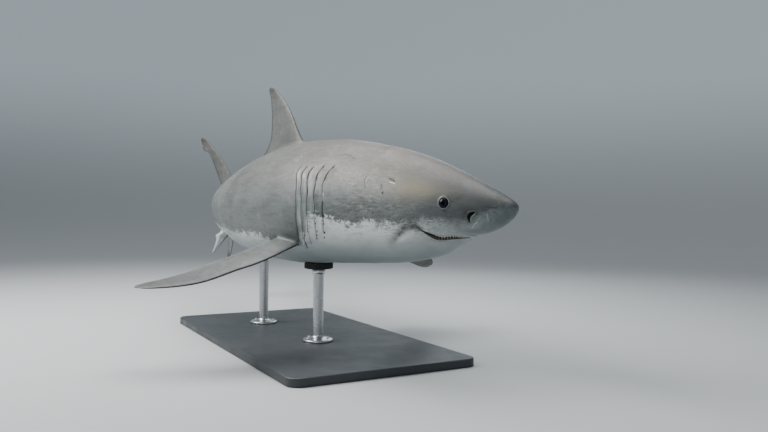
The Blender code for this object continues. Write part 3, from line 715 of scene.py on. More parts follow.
def pairedFin(fin, hand):
    # A stiff fin leaving the flank at an angle below level, its leading edge turned down a little, the rear
    # of its root lifted by an amount that dies away along the fin, and its outer half sagging by a bell.
    lead, trail, first, last, _ = finTable(fin)
    s, out, up = fin["root"]
    start = place(s, hand * out, up)
    back = (place(s + 1, 0, 0) - place(s, 0, 0)) / pc
    outward = hand * np.array((back[1], -back[0], 0))
    sideOf = 0 if hand > 0 else 1
    drop, pitch = np.radians((fin["drop"][sideOf], fin["pitch"][sideOf]))
    rootLift, sag = fin["rootLift"][sideOf], fin["sag"][sideOf]
    span = outward * np.cos(drop) - np.array((0, 0, np.sin(drop)))
    upward = outward * np.sin(drop) + np.array((0, 0, np.cos(drop)))
    chordWay = back * np.cos(pitch) + upward * np.sin(pitch)
    thickWay = upward * np.cos(pitch) - back * np.sin(pitch)

    def point(turn, distance):
        share = (1 + np.cos(turn)) / 2
        front, chord = lead(distance), trail(distance) - lead(distance)
        beyond = np.clip(distance, 0, None)
        thickness = fin["thickness"] * (1 + fins["rootSwell"] * np.exp(-beyond / fins["swellReach"]))
        half = -finSection(chord, share, thickness) * np.sign(np.sin(turn))
        along = front + share * chord
        sagMiddle, sagReach = fins["sagAt"]
        lift = rootLift * share * np.exp(-beyond / fins["rootLiftReach"])
        lift = lift - sag * bump(distance - sagMiddle, sagReach)
        parts = ((distance, span), (along, chordWay), (half, thickWay), (lift, upward))
        return start + pc * sum(amount[..., None] * way for amount, way in parts)

    return point, first, last


def crossing(point, first, last, turn):
    # Where each line of the fin leaves the body: the first fine step outside it, shared with the one before.
    distance = np.linspace(first, last, 400)[:, None] + 0 * turn
    share = insideShare(*unplace(point(turn + 0 * distance, distance)))
    step = np.clip((share >= 1).argmax(0), 1, None)
    column = np.arange(len(turn))
    before, after = share[step - 1, column], share[step, column]
    t = np.clip((1 - before) / (after - before), 0, 1)
    return distance[step - 1, column] * (1 - t) + distance[step, column] * t


def nearAngle(angle, middle):
    # The same angle, counted so that it lies within half a turn of the middle one.
    return middle + (angle - middle + 180) % 360 - 180


def addFin(grid, fin, point, first, last, hand=1):
    # From the window's edge the rings run over the body to the fin's foot, up through a rounded fillet (a
    # quadratic curve whose middle point is where fin and body cross), and on out to the tip.
    _, (low, high) = fin["window"]
    numbers, s, angle = window(grid, fin["window"], hand)
    middleAngle = (low + high) / 2 * hand
    flip = 1 if abs(middleAngle) < 90 else -1
    way = hand if "root" in fin else flip
    ends = np.array([np.pi, 0.0])
    footDistance = crossing(point, first, last, ends)
    footS, footSide, footUp = unplace(point(ends, footDistance))
    footAngle = nearAngle(angleOf(footS, footSide, footUp), middleAngle)
    x = (s - footS.mean()) / (s.max() - s.min())
    y = (angle - np.interp(s, footS, footAngle)) / (high - low)
    turn = np.arctan2(y * way, x)
    distance = crossing(point, first, last, turn)
    crossPoint = point(turn, distance)
    crossS, crossSide, crossUp = unplace(crossPoint)
    crossAngle = nearAngle(angleOf(crossS, crossSide, crossUp), middleAngle)
    gap = np.linalg.norm(skinPoint(s, angle) - crossPoint, axis=1)
    share = np.clip(fin["fillet"] / gap, 0, 0.6)
    footS, footAngle = crossS + (s - crossS) * share, crossAngle + (angle - crossAngle) * share
    steps = max(2, int(round(gap.mean() / fins["ringGap"])))
    for t in np.arange(1, steps + 1) / steps:
        ringS, ringAngle = s + (footS - s) * t, angle + (footAngle - angle) * t
        numbers = addRing(numbers, skinPoint(ringS, ringAngle), s=ringS, angle=ringAngle)
    foot = skinPoint(footS, footAngle)
    rate = np.linalg.norm(point(turn, distance + 0.05) - crossPoint, axis=1) / 0.05
    reach = np.minimum(fin["fillet"] / rate, 0.3 * (last - distance))
    top = point(turn, distance + reach)
    under = (np.sin(turn) > 0) * 1.0
    chord = (1 + np.cos(turn)) / 2
    facts = {"s": crossS, "angle": crossAngle, "kind": fin["kind"], "fin": 1, "chord": chord, "under": under}
    for t in fins["fillet"]:
        where = (1 - t) ** 2 * foot + 2 * t * (1 - t) * crossPoint + t * t * top
        numbers = addRing(numbers, where, **{**facts, "fin": t})
    shares = np.linspace(0, 1, fin["rings"] + 1)[1:]
    shares = 0.8 * shares + 0.2 * (1 - (1 - shares) ** 2)
    for share in shares:
        here = distance + reach + (last - distance - reach) * share
        where = point(turn, here)
        numbers = addRing(numbers, where, **{**facts, "s": unplace(where)[0], "span": share})
    tip = {"s": crossS.mean(), "angle": crossAngle.mean(), "chord": 0.5, "under": 0.5, "span": 1}
    closeRing(numbers, where.mean(0)[None, :], **{**facts, **tip})


addFin(front, fins["first_dorsal"], *medianFin(fins["first_dorsal"]))
for name in ("second_dorsal", "anal", "caudal_upper", "caudal_lower"):
    addFin(rear, fins[name], *medianFin(fins[name]))
for hand in (1, -1):
    addFin(front, fins["pectoral"], *pairedFin(fins["pectoral"], hand), hand)
    addFin(rear, fins["pelvic"], *pairedFin(fins["pelvic"], hand), hand)
closeGrid(front)
closeGrid(rear)
print("fins made")


# ---- the skin's mesh, and what its colouring reads
def newMesh(name, points, faces, solid=True):
    # A mesh piece shaded smooth; the faces of a solid are all turned outwards.
    data = bpy.data.meshes.new(name)
    data.from_pydata(np.asarray(points).tolist(), [], faces)
    if solid:
        work = bmesh.new()
        work.from_mesh(data)
        bmesh.ops.recalc_face_normals(work, faces=work.faces)
        work.to_mesh(data)
        work.free()
    data.shade_smooth()
    made = bpy.data.objects.new(name, data)
    bpy.context.scene.collection.objects.link(made)
    return made


def setAttribute(made, name, values):
    kept = made.data.attributes.new(name, "FLOAT", "POINT")
    kept.data.foreach_set("value", np.asarray(values, np.float32))


def ringFaces(shape):
    # The numbers of points kept as rows of closed rings, and the quads between each ring and the next.
    numbers = np.arange(int(np.prod(shape))).reshape(shape)
    onward = np.roll(numbers, -1, axis=-1)
    cells = numbers[..., :-1, :], onward[..., :-1, :], onward[..., 1:, :], numbers[..., 1:, :]
    return numbers, np.stack(cells, -1).reshape(-1, 4).tolist()


def closedRings(points):
    # Stacked rings as point and face lists, each end closed by one face.
    numbers, faces = ringFaces(points.shape[:2])
    return points.reshape(-1, 3), faces + [numbers[0].tolist(), numbers[-1].tolist()]


def fullTurn(count):
    return np.linspace(0, 2 * np.pi, count, endpoint=False)


def stacked(x, y, height):
    # Rings from their x and y and one height for each ring.
    return np.stack([x, y, np.broadcast_to(height[:, None], x.shape)], -1)


def dress(made, look, slotName, *nodes):
    # Gives a piece its material, ties it to the body, and hides the nodes it stands for.
    made.data.materials.append(look)
    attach(made, "root")
    if nodes:
        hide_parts(*nodes)


colouring = {
    "edgeHeight": (  # s, and height of the line between the grey back and the white belly
        (0, -0.1), (1.2, -0.25), (2.3, -0.45), (4.1, -1.1), (6.1, -1.5), (8.2, -1.5), (11, -1.8),
        (13, -2.0), (14.2, -2.0), (15.1, -1.55), (16.1, -1.4), (17, -2.05), (18.5, -2.1), (20.2, -1.85),
        (21.6, -1.4), (22.8, -1.05), (23.9, -0.85), (24.5, -1.2), (25, -2.1), (25.5, -3.2), (26.5, -3.9),
        (27.3, -4.7), (30.5, -4.5), (33.2, -4.3), (35.2, -3.95), (40.7, -3.6), (47, -3.75), (54, -3.3),
        (60, -2.2), (66, -1.5), (72, -1.0), (78, -0.7), (84, -0.6), (90, -0.6),
    ),
    "girth": 0.27,  # metres round the flank for each radian of angle
    "softness": (  # s, and half the width in metres of the change from grey to white
        (0, 0.03), (5, 0.035), (9, 0.032), (12, 0.022), (16, 0.012), (21, 0.009), (24, 0.005), (30, 0.007),
        (60, 0.015), (90, 0.02),
    ),
    "bells": {  # s, reach in s, angle, reach in degrees, strength
        # axil and nose are painted shade behind the pectoral fin's root and round the nostrils
        "cheek": (15.5, 6, 88, 24, 1), "ochre": (9.5, 3.4, 64, 13, 1), "axil": (31.6, 2.0, 121, 4, 1),
        "nose": (4.15, 0.8, 110, 12, 0.8),
    },
    "front": (0.5, 15.5), "warm": (18, 36),  # s where the painted shade of the snout, and the head's warm colour, fade, and end
    "finGrey": {
        "upright": 0.2, "pectoralTop": 0.12, "pectoralUnder": -0.12, "pelvicFront": 0.02, "pelvicRear": -0.1,
    },
    "edgeShare": 0.08, "leadShadeShare": 0.04,  # shares of a fin's chord taken by its dark edges, and by the painted shade along a pectoral's leading edge
    "beads": (0.4, 1.0, 3.8, 4.3),  # how far below the level the dark beads start, are full, fade, and stop
    "slitDepth": 0.16,  # depth at which a gill slit's painted shade is full
}


def finColours(facts, grey, kind):
    # The grey of each fin, its dark edges and its pale ones. Kinds 1 and 3 stand upright, 4 is a pectoral, 2
    # and 5 are the fins below.
    chord, span, fin, share = facts["chord"], facts["span"], facts["fin"], colouring["finGrey"]
    below = facts["under"] > 0.5
    upright, pectoral, pelvic = (kind == 1) | (kind == 3), kind == 4, (kind == 2) | (kind == 5)
    finGrey = np.where(upright, share["upright"], grey)
    # the underside's leading edge is greyed as painted shade
    pectoralUnder = share["pectoralUnder"] + 0.13 * (chord < 0.03)
    finGrey = np.where(pectoral, np.where(below, pectoralUnder, share["pectoralTop"]), finGrey)
    finGrey = np.where(pelvic, np.where(chord > 0.45, share["pelvicRear"], share["pelvicFront"]), finGrey)
    edges = np.clip(1 - np.minimum(chord, 1 - chord) / colouring["edgeShare"], 0, 1)
    dark = np.where(upright, np.maximum(edges, 0.7 * ramp(span, 0.85, 1)), 0)
    underDark = np.maximum(ramp(span, 0.5, 0.75), ramp(chord, 0.80, 0.9) * ramp(span, 0.45, 0.8))
    dull = np.where(below, underDark, 0.1 + 0.18 * span)
    # painted shade along the pectoral's leading edge
    lead = 0.8 * np.clip(1 - chord / colouring["leadShadeShare"], 0, 1)
    dark = np.where(pectoral, np.maximum(dull, lead), dark)
    dark = np.where(pelvic, 0.8 * bump(chord - 0.5, 0.07) * ramp(span, 0.1, 0.3), dark) * ramp(fin, 0.6, 1)
    # painted highlight along the top of the pectoral's trailing edge
    pale = np.where(pectoral & ~below, 0.6 * ramp(chord, 0.955, 0.99) * (1 - ramp(span, 0.7, 0.95)), 0)
    pale = np.where(pelvic, ramp(chord, 0.9, 1), pale) * ramp(span, 0.02, 0.1) + facts["pale"]
    return {"grey": grey + (finGrey - grey) * ramp(fin, 0, 0.8), "edge": dark, "pale": pale}


def gillColours(s, up, flank):
    # The painted shade inside the slits, the beads below the first two, and the painted highlights, pale
    # bands and patches, between them.
    def behind(middle):
        return s - middle - gillShift(middle, flank)

    slitShade = np.clip(-slitHeight(s, flank) / colouring["slitDepth"], 0, 1) * (s > 20) * (s < 31)
    middles = [middle for middle, _ in gills["slits"]]
    near = np.maximum(*(bump(behind(middle) - 0.02, 0.26) for middle in middles[:2]))
    start, full, fade, stop = colouring["beads"]
    beads = near * ramp(-up, start, full) * (1 - ramp(-up, fade, stop))
    start, full, fade, stop = gills["bands"]
    weaker, low, high = gills["upperFade"]
    gillSheen = np.zeros(len(s))
    for middle, reach, strength in gills["gillSheen"]:
        gillSheen = np.maximum(gillSheen, strength * bump(behind(middle), reach))
    gillSheen *= ramp(up, start, full) * (1 - weaker * ramp(up, low, high)) * (1 - ramp(up, fade, stop))
    strength, ahead, reach, height, tall = gills["ahead"]
    for middle in middles:
        gillSheen = np.maximum(gillSheen, strength * bump(behind(middle) + ahead, reach) * bump(up - height, tall))
    return {"slit": slitShade, "beads": beads, "gillSheen": gillSheen}


def makeSkin():
    points = np.concatenate(skin["points"])
    facts = dict(zip(factNames, np.concatenate(skin["facts"]).T))
    made = newMesh("shark_skin", points, [face for group in skin["faces"] for face in group.tolist()])
    s, _, up = unplace(points)
    onBody = facts["kind"] < 0.5
    s = np.where(onBody, facts["s"], s)
    turn = np.where(onBody, (facts["angle"] + 180) % 360 - 180, 0)
    flank = np.abs(turn)
    grey = (up - smoothCurve(colouring["edgeHeight"])(s)) * pc
    values = finColours(facts, grey, facts["kind"])
    values |= {"along": s * pc, "around": np.radians(turn) * colouring["girth"], "up": up * pc}
    values |= {"pit": facts["pit"], "gum": facts["gum"]}
    values["soft"] = np.interp(s, *np.array(colouring["softness"]).T)
    bells = {name: strength * bump(s - middle, reach) * bump(flank - angle, spread)
             for name, (middle, reach, angle, spread, strength) in colouring["bells"].items()}
    # painted shade along the fold behind the mouth's corner
    foldShade = crease["shade"] * creaseAt(s, flank, crease["shadeWidth"], crease["shadeStart"])
    ofBody = gillColours(s, up, flank)
    ofBody |= {"cheek": bells["cheek"], "ochre": bells["ochre"]}
    ofBody |= {name: 1 - ramp(s, *colouring[name]) for name in ("front", "warm")}
    # painted shade in the mouth's fold, behind the pectoral fin and round the nostrils
    ofBody["shade"] = np.maximum(np.maximum(bells["axil"], bells["nose"]), foldShade)
    values |= {name: value * onBody for name, value in ofBody.items()}
    for name, value in values.items():
        setAttribute(made, name, value)
    return made


# ---- materials
class Nodes:
    # A short way to wire a material: each call makes one node and gives its first output.
    def __init__(self, name):
        self.material = bpy.data.materials.new(name)
        self.material.use_nodes = True
        self.tree = self.material.node_tree
        self.shader = self.tree.nodes["Principled BSDF"]

    def join(self, value, socket):
        if isinstance(value, bpy.types.NodeSocket):
            self.tree.links.new(value, socket)
        elif value is not None:
            socket.default_value = value

    def node(self, kind, output=0, **inputs):
        made = self.tree.nodes.new(kind)
        for key, value in inputs.items():
            self.join(value, made.inputs[key])
        return made.outputs[output]

    def math(self, operation, *values, clamp=False):
        made = self.tree.nodes.new("ShaderNodeMath")
        made.operation, made.use_clamp = operation, clamp
        for value, socket in zip(values, made.inputs):
            self.join(value, socket)
        return made.outputs[0]

    def times(self, first, *others):
        for other in others:
            first = self.math("MULTIPLY", first, other)
        return first

    def most(self, first, *others):
        for other in others:
            first = self.math("MAXIMUM", first, other)
        return first

    def smooth(self, value, low, high, fromLow=0.0, fromHigh=1.0):
        made = self.tree.nodes.new("ShaderNodeMapRange")
        made.interpolation_type = "SMOOTHSTEP"
        for given, socket in zip((value, low, high, fromLow, fromHigh), made.inputs):
            self.join(given, socket)
        return made.outputs[0]

    def opaque(self, colour):
        return (*colour, 1) if isinstance(colour, tuple) else colour

    def mix(self, share, first, second):
        # The first colour, and the second over it by the share.
        made = self.tree.nodes.new("ShaderNodeMix")
        made.data_type = "RGBA"
        for value, number in ((share, 0), (self.opaque(first), 6), (self.opaque(second), 7)):
            self.join(value, made.inputs[number])
        return made.outputs[2]

    def objectPlace(self, scale=None):
        spot = self.tree.nodes.new("ShaderNodeTexCoord").outputs["Object"]
        return spot if scale is None else self.node("ShaderNodeMapping", Vector=spot, Scale=scale)

    def cells(self, scale):
        # Distance from the middle of the nearest of many scattered cells.
        return self.node("ShaderNodeTexVoronoi", Vector=self.objectPlace(), Scale=scale)

    def vector(self, operation, a, b=None, output=0, scale=None):
        made = self.tree.nodes.new("ShaderNodeVectorMath")
        made.operation = operation
        self.join(a, made.inputs[0])
        self.join(b, made.inputs[1])
        if scale is not None:
            self.join(scale, made.inputs["Scale"])
        return made.outputs[output]

    def stroke(self, spot, start, end, width, ragged):
        # 1 on the straight line from start to end, 0 beyond its half width: the distance to the nearest
        # point of it, which ragged stretches here and there.
        start, end = np.array(start), np.array(end)
        reach = end - start
        offset = self.vector("SUBTRACT", spot, tuple(start))
        along = self.vector("DOT_PRODUCT", offset, tuple(reach), 1)
        share = self.math("DIVIDE", along, float(reach @ reach), clamp=True)
        nearest = self.vector("SCALE", tuple(reach), scale=share)
        distance = self.times(self.vector("DISTANCE", offset, nearest, 1), ragged)
        return self.smooth(distance, width, width * 0.3)

    def attribute(self, name):
        made = self.tree.nodes.new("ShaderNodeAttribute")
        made.attribute_name = name
        return made.outputs["Fac"]

    def noise(self, scale, detail=3.0, roughness=0.5, vector=None):
        where = self.objectPlace() if vector is None else vector
        return self.node("ShaderNodeTexNoise", Vector=where, Scale=scale, Detail=detail, Roughness=roughness)

    def bump(self, height, distance, strength):
        return self.node("ShaderNodeBump", Height=height, Distance=distance, Strength=strength)

    def finish(self, colour, roughness, **others):
        # The material, with what else its shader needs under the shader's own names.
        others |= {"Base Color": self.opaque(colour), "Roughness": roughness}
        for key, value in others.items():
            self.join(value, self.shader.inputs[key.replace("_", " ")])
        return self.material


skinLook = {
    "head": (0.175, 0.162, 0.148), "back": (0.160, 0.165, 0.160), "flank": (0.193, 0.210, 0.208),
    "low": (0.182, 0.205, 0.203), "patch": (0.070, 0.070, 0.068), "fleck": (0.36, 0.36, 0.33),
    "snoutShade": (0.050, 0.051, 0.052), "gum": (0.27, 0.225, 0.21), "gillSheen": (0.62, 0.66, 0.65),
    "white": (0.72, 0.735, 0.715), "whiteShade": (0.35, 0.40, 0.405), "muzzleShade": (0.112, 0.137, 0.146),
    "dark": (0.010, 0.010, 0.011), "finEdge": (0.040, 0.038, 0.038), "lip": (0.55, 0.53, 0.51),
    "ochre": (0.26, 0.222, 0.138),
    "roughness": (0.38, 0.58),
    "noises": ((2.2, 4, 0.6), (13, 5, 0.62), (75, 4, 0.65), (200, 2, 0.6)),  # scale, detail, roughness
    "edgeNoise": (  # scale, and size in m, of the line's wander
        (4.5, 0.05), (15, 0.09), (42, 0.09), (120, 0.07),
    ),
    "scratches": (  # s and angle of both ends on the right flank, half width in mm, strength
        (22.84, 39.1, 21.9, 36.6, 3.1, 0.88), (21.9, 36.6, 20.84, 37.2, 3.6, 1),
        (20.7, 38.4, 19.9, 40.4, 2.9, 0.88), (17.06, 20.8, 17.2, 5.0, 3.6, 0.88),
        (16.84, 56.6, 16.98, 61.6, 3.1, 0.88), (16.98, 61.6, 16.5, 68.1, 2.9, 0.77),
        (17.4, 56.5, 17.15, 60.0, 2.3, 0.55), (13.7, 56.1, 12.9, 58.4, 6, 1),
        (14.44, 63.8, 14.3, 67.6, 4.9, 0.83), (14.05, 71.8, 14.0, 72.6, 6.5, 1),
        (2.52, 87.5, 2.0, 92.6, 3.4, 0.88), (2.0, 92.6, 1.4, 90.0, 3.9, 0.99),
        (5.82, 78.0, 5.65, 79.2, 4.2, 0.77), (5.95, 91.0, 5.8, 92.0, 2.9, 0.55),
        (8.5, 106.3, 7.9, 107.5, 3.1, 0.55), (38.5, 62, 42.4, 66, 2.3, 0.5),
        (44.5, 83, 46.2, 78, 2.1, 0.44), (53, 70, 56, 74, 2.2, 0.44), (33.1, 84, 32.9, 92, 2.3, 0.28),
        (25.9, 116, 26.7, 128, 3.9, 0.88), (26.6, 127, 27.0, 134, 6.5, 0.88),
    ),
    "flaps": (  # the pale skin before each nostril, on both sides
        (3.1, 113, 3.5, 125, 3.0, 0.4), (3.5, 125, 4.05, 134, 3.8, 0.65), (4.05, 134, 4.35, 142, 3.2, 0.4),
    ),
    "paleMarksAndHighlights": (  # as the scratches; those by the gills, s 22.5 to 27, and the one below the dark spot at s 13 are painted highlights
        (13.5, 60.0, 12.8, 61.2, 3.6, 0.9), (2.1, 98.8, 1.55, 99.6, 3.2, 0.6),
        (16.6, 57.2, 16.7, 61.4, 2.2, 0.4), (2.36, 107, 2.46, 131, 3.0, 0.25),
        (24.14, 70.8, 23.96, 76.5, 5.0, 0.9), (23.96, 76, 23.86, 92, 3.2, 0.5),
        (22.6, 75.4, 22.5, 80, 7.0, 0.85), (24.96, 97, 25.5, 112, 5.0, 0.9),
        (26.2, 118, 27.1, 129, 4.5, 0.8), (25.5, 112, 26.3, 124, 4.5, 0.8),
        (8.4, 108.0, 7.9, 109.2, 4, 0.35), (29.9, 58, 32.6, 63, 1.4, 0.3),
    ),
}


def skinMaterial():
    n = Nodes("shark_skin")
    grey, up, cheek, soft, front = (n.attribute(name) for name in ("grey", "up", "cheek", "soft", "front"))
    slow, middle, fine, grit = (n.noise(*values) for values in skinLook["noises"])
    streaks = n.noise(1, 4, 0.6, n.objectPlace((5, 26, 40)))

    def paint(colour, name, *shares):
        # One of the skin's own colours over the last, by the product of the shares.
        return n.mix(n.times(*shares), colour, skinLook[name])

    def withCheek(gain, base):
        # A strength that grows over the cheek.
        return n.math("MULTIPLY_ADD", cheek, gain, base)

    # marks drawn out along the body
    place = n.node("ShaderNodeCombineXYZ", X=n.attribute("along"), Y=n.attribute("around"), Z=up)
    drawn = n.noise(1, 4, 0.65, n.vector("MULTIPLY", place, (34, 95, 40)))
    brushed = n.noise(1, 5, 0.7, n.vector("MULTIPLY", place, (22, 90, 30)))
    # the line between grey and white wanders by several sizes of noise, which leave islands on both sides
    wander = 0.0
    for scale, size in skinLook["edgeNoise"]:
        wander = n.math("ADD", wander, n.math("MULTIPLY_ADD", n.noise(scale, 3, 0.6), size, -size / 2))
    where = n.math("ADD", grey, n.times(wander, n.smooth(soft, 0.004, 0.03, 1.0, 0.5)))
    isGrey = n.smooth(n.math("DIVIDE", where, soft), -1.0, 1.0)
    # grey: darkest just above the line, paler up the flank, warm over the back and head
    colour = n.mix(n.smooth(grey, 0.0, 0.08), skinLook["low"], skinLook["flank"])
    over = n.mix(n.attribute("warm"), skinLook["back"], skinLook["head"])
    colour = n.mix(n.smooth(up, 0.06, 0.17), colour, over)
    colour = paint(colour, "patch", n.smooth(streaks, 0.42, 0.72, 0, 0.30))
    colour = paint(colour, "patch", n.smooth(slow, 0.42, 0.66, 0, 0.45))
    colour = paint(colour, "fleck", n.smooth(middle, 0.52, 0.78, 0, 0.34))
    colour = paint(colour, "patch", n.smooth(drawn, 0.46, 0.62), withCheek(0.42, 0.16))
    colour = paint(colour, "fleck", n.smooth(brushed, 0.50, 0.66), withCheek(0.50, 0.14))
    colour = paint(colour, "patch", n.smooth(grit, 0.50, 0.62), withCheek(0.40, 0.10))
    colour = paint(colour, "ochre", n.attribute("ochre"), n.smooth(slow, 0.35, 0.6, 0.6, 1.0))
    # painted shade: the grey darkens towards the snout
    colour = paint(colour, "snoutShade", front, n.smooth(streaks, 0.3, 0.7, 0.9, 0.6))
    # painted highlights on the gill folds
    colour = paint(colour, "gillSheen", n.attribute("gillSheen"), n.smooth(middle, 0.35, 0.6, 0.45, 0.9))
    # white: greyer in slow patches and streaks, with painted shade low down, flecked with grey near the
    # line, and painted shade towards the snout
    white = n.mix(n.smooth(slow, 0.4, 0.7), skinLook["white"], skinLook["whiteShade"])
    white = paint(white, "whiteShade", n.smooth(streaks, 0.45, 0.75, 0, 0.30))
    white = paint(white, "flank", n.smooth(grey, -0.09, 0.0, 0.0, 0.7), n.smooth(drawn, 0.50, 0.62))
    # painted shade: the white darker low down
    white = paint(white, "whiteShade", n.smooth(up, -0.10, -0.25, 0.0, 0.85))
    # painted shade: the white greyer under the snout
    white = paint(white, "muzzleShade", front, n.smooth(middle, 0.4, 0.65, 0.95, 0.8))
    colour = n.mix(isGrey, white, colour)
    # pale lips, eye rims, nostril flaps and pelvic edges, and a painted highlight on the pectorals' trailing
    # edges
    colour = paint(colour, "lip", n.attribute("pale"), n.smooth(middle, 0.35, 0.6, 0.35, 0.75))
    # dark fin edges and tips, and painted shade along the pectorals' leading edges
    colour = paint(colour, "finEdge", n.attribute("edge"), n.smooth(middle, 0.3, 0.6, 0.75, 0.97))
    # scratches, pale marks and painted highlights along lines on the right flank
    spot = n.node("ShaderNodeCombineXYZ", X=n.attribute("along"), Y=n.attribute("around"))
    wobble = n.node("ShaderNodeTexNoise", output=1, Vector=spot, Scale=55.0, Detail=2.0)
    wobble = n.vector("SCALE", n.vector("SUBTRACT", wobble, (0.5, 0.5, 0.5)), scale=0.009)
    spot = n.vector("MULTIPLY", n.vector("ADD", spot, wobble), (1, 1, 0))
    eitherSide = n.vector("MULTIPLY", n.vector("ABSOLUTE", spot), (1, -1, 0))
    ragged = n.smooth(n.noise(230, 3), 0.36, 0.62, 2.3, 0.75)

    def marks(name, spot=spot):
        strokes = []
        for *ends, width, strength in skinLook[name]:
            across = -np.radians(ends[1::2]) * colouring["girth"]
            start, end = ((s * pc, y, 0) for s, y in zip(ends[::2], across))
            strokes.append(n.times(n.stroke(spot, start, end, width / 1000, ragged), strength))
        return n.most(*strokes)

    scratch = marks("scratches")
    # pale marks, painted highlights by the gills and below a scar, and pale nostril flaps
    colour = paint(colour, "white", n.most(marks("paleMarksAndHighlights"), marks("flaps", eitherSide)))
    colour = paint(colour, "dark", scratch)
    # beads of dark along the lower gill slits; painted shade inside slits, mouth, nostrils and eye sockets,
    # and in folds
    beads = n.times(n.smooth(n.cells(52), 0.42, 0.28), n.smooth(n.attribute("beads"), 0.3, 0.7))
    slit = n.times(n.attribute("slit"), n.smooth(n.noise(38, 3), 0.34, 0.5, 0.75, 1.0))
    shade = n.times(n.attribute("shade"), n.smooth(fine, 0.35, 0.6, 0.9, 0.6))
    colour = paint(colour, "gum", n.attribute("gum"))
    colour = paint(colour, "dark", n.most(n.attribute("pit"), slit, beads, shade))
    rough = n.smooth(n.noise(160, 2), 0.3, 0.7, *skinLook["roughness"])
    grain = n.math("ADD", n.times(n.noise(420, 2), 0.4), n.times(fine, 0.9))
    grain = n.math("ADD", grain, n.times(scratch, -1.4))
    return n.finish(colour, rough, Normal=n.bump(grain, 0.0014, 0.4))


skinPiece = makeSkin()
fleshNodes = [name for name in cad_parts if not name.startswith(("stand_", "eye_"))]
dress(skinPiece, skinMaterial(), "back_skin", *fleshNodes)
print("skin made", len(skinPiece.data.polygons))


# ---- eyeballs
def eyeball(name, hand):
    # Half lens: rings of a flattened ball about the eye's own axis, from the front pole back.
    seatPlace, along, around, out, _, _ = localFrame(eyes["seat"][0], eyes["seat"][1] * hand)
    turns, tilts = fullTurn(eyes["sides"]), np.linspace(0, np.pi, eyes["rows"] + 2)[1:-1]
    tilt, turn = tilts[:, None], turns[None, :]
    around = np.cross(out, along)
    flat = (np.cos(turn)[..., None] * along + np.sin(turn)[..., None] * around) * np.sin(tilt)[..., None]
    centre = seatPlace - eyes["sunk"] * out
    points = centre + eyes["radius"] * flat + eyes["depth"] * np.cos(tilt)[..., None] * out
    numbers, faces = ringFaces(points.shape[:2])
    for pole, ring in enumerate((numbers[0], numbers[-1])):
        faces += [[numbers.size + pole, a, b] for a, b in zip(ring, np.roll(ring, -1))]
    ends = np.stack([centre + eyes["depth"] * out, centre - eyes["depth"] * out])
    made = newMesh(name, np.concatenate([points.reshape(-1, 3), ends]), faces)
    setAttribute(made, "ring", np.concatenate([np.repeat(np.sin(tilts), len(turns)), (0, 0)]))
    return made


def eyeMaterial():
    n = Nodes("eye")
    ring = n.math("MULTIPLY_ADD", n.noise(300, 3), 0.10, n.attribute("ring"))
    iris = n.mix(n.smooth(n.noise(900, 2), 0.4, 0.6), *eyes["iris"])
    colour = n.mix(n.smooth(ring, *eyes["pupilEdge"]), eyes["pupil"], iris)
    colour = n.mix(n.smooth(ring, *eyes["rimEdge"]), colour, eyes["rim"])
    return n.finish(colour, 0.22, Specular_IOR_Level=0.15)


eyeLook = eyeMaterial()
for name, hand in (("left", 1), ("right", -1)):
    dress(eyeball("eyeball_" + name, hand), eyeLook, "eye", "eye_" + name)
print("eyes made")

# ---- teeth
teeth = {
    "upper": {"count": 30, "width": 0.30, "height": 0.26, "setIn": 0.20, "way": -1, "seed": 4},
    "lower": {"count": 30, "width": 0.24, "height": 0.26, "setIn": 0.26, "way": 1, "seed": 5},
    "fullOpening": 0.5,  # height of the opening in which a tooth has its full size
    "last": 124,  # angle of the last tooth
    "thickness": 0.10,
    "root": 0.12,
    "taper": 0.45,
    "smallest": 0.3,  # share of its size that a tooth keeps where the mouth is shut
    "vary": (0.6, 1.1), "lean": 0.3,
    "rings": 9, "sides": 10, "notch": 0.06,
    "inGap": 0.95,  # how far from the mouth's line to the gap's edge the teeth stand
    "enamel": ((0.88, 0.87, 0.80), (0.74, 0.71, 0.62)), "rootColour": (0.48, 0.38, 0.32),
}


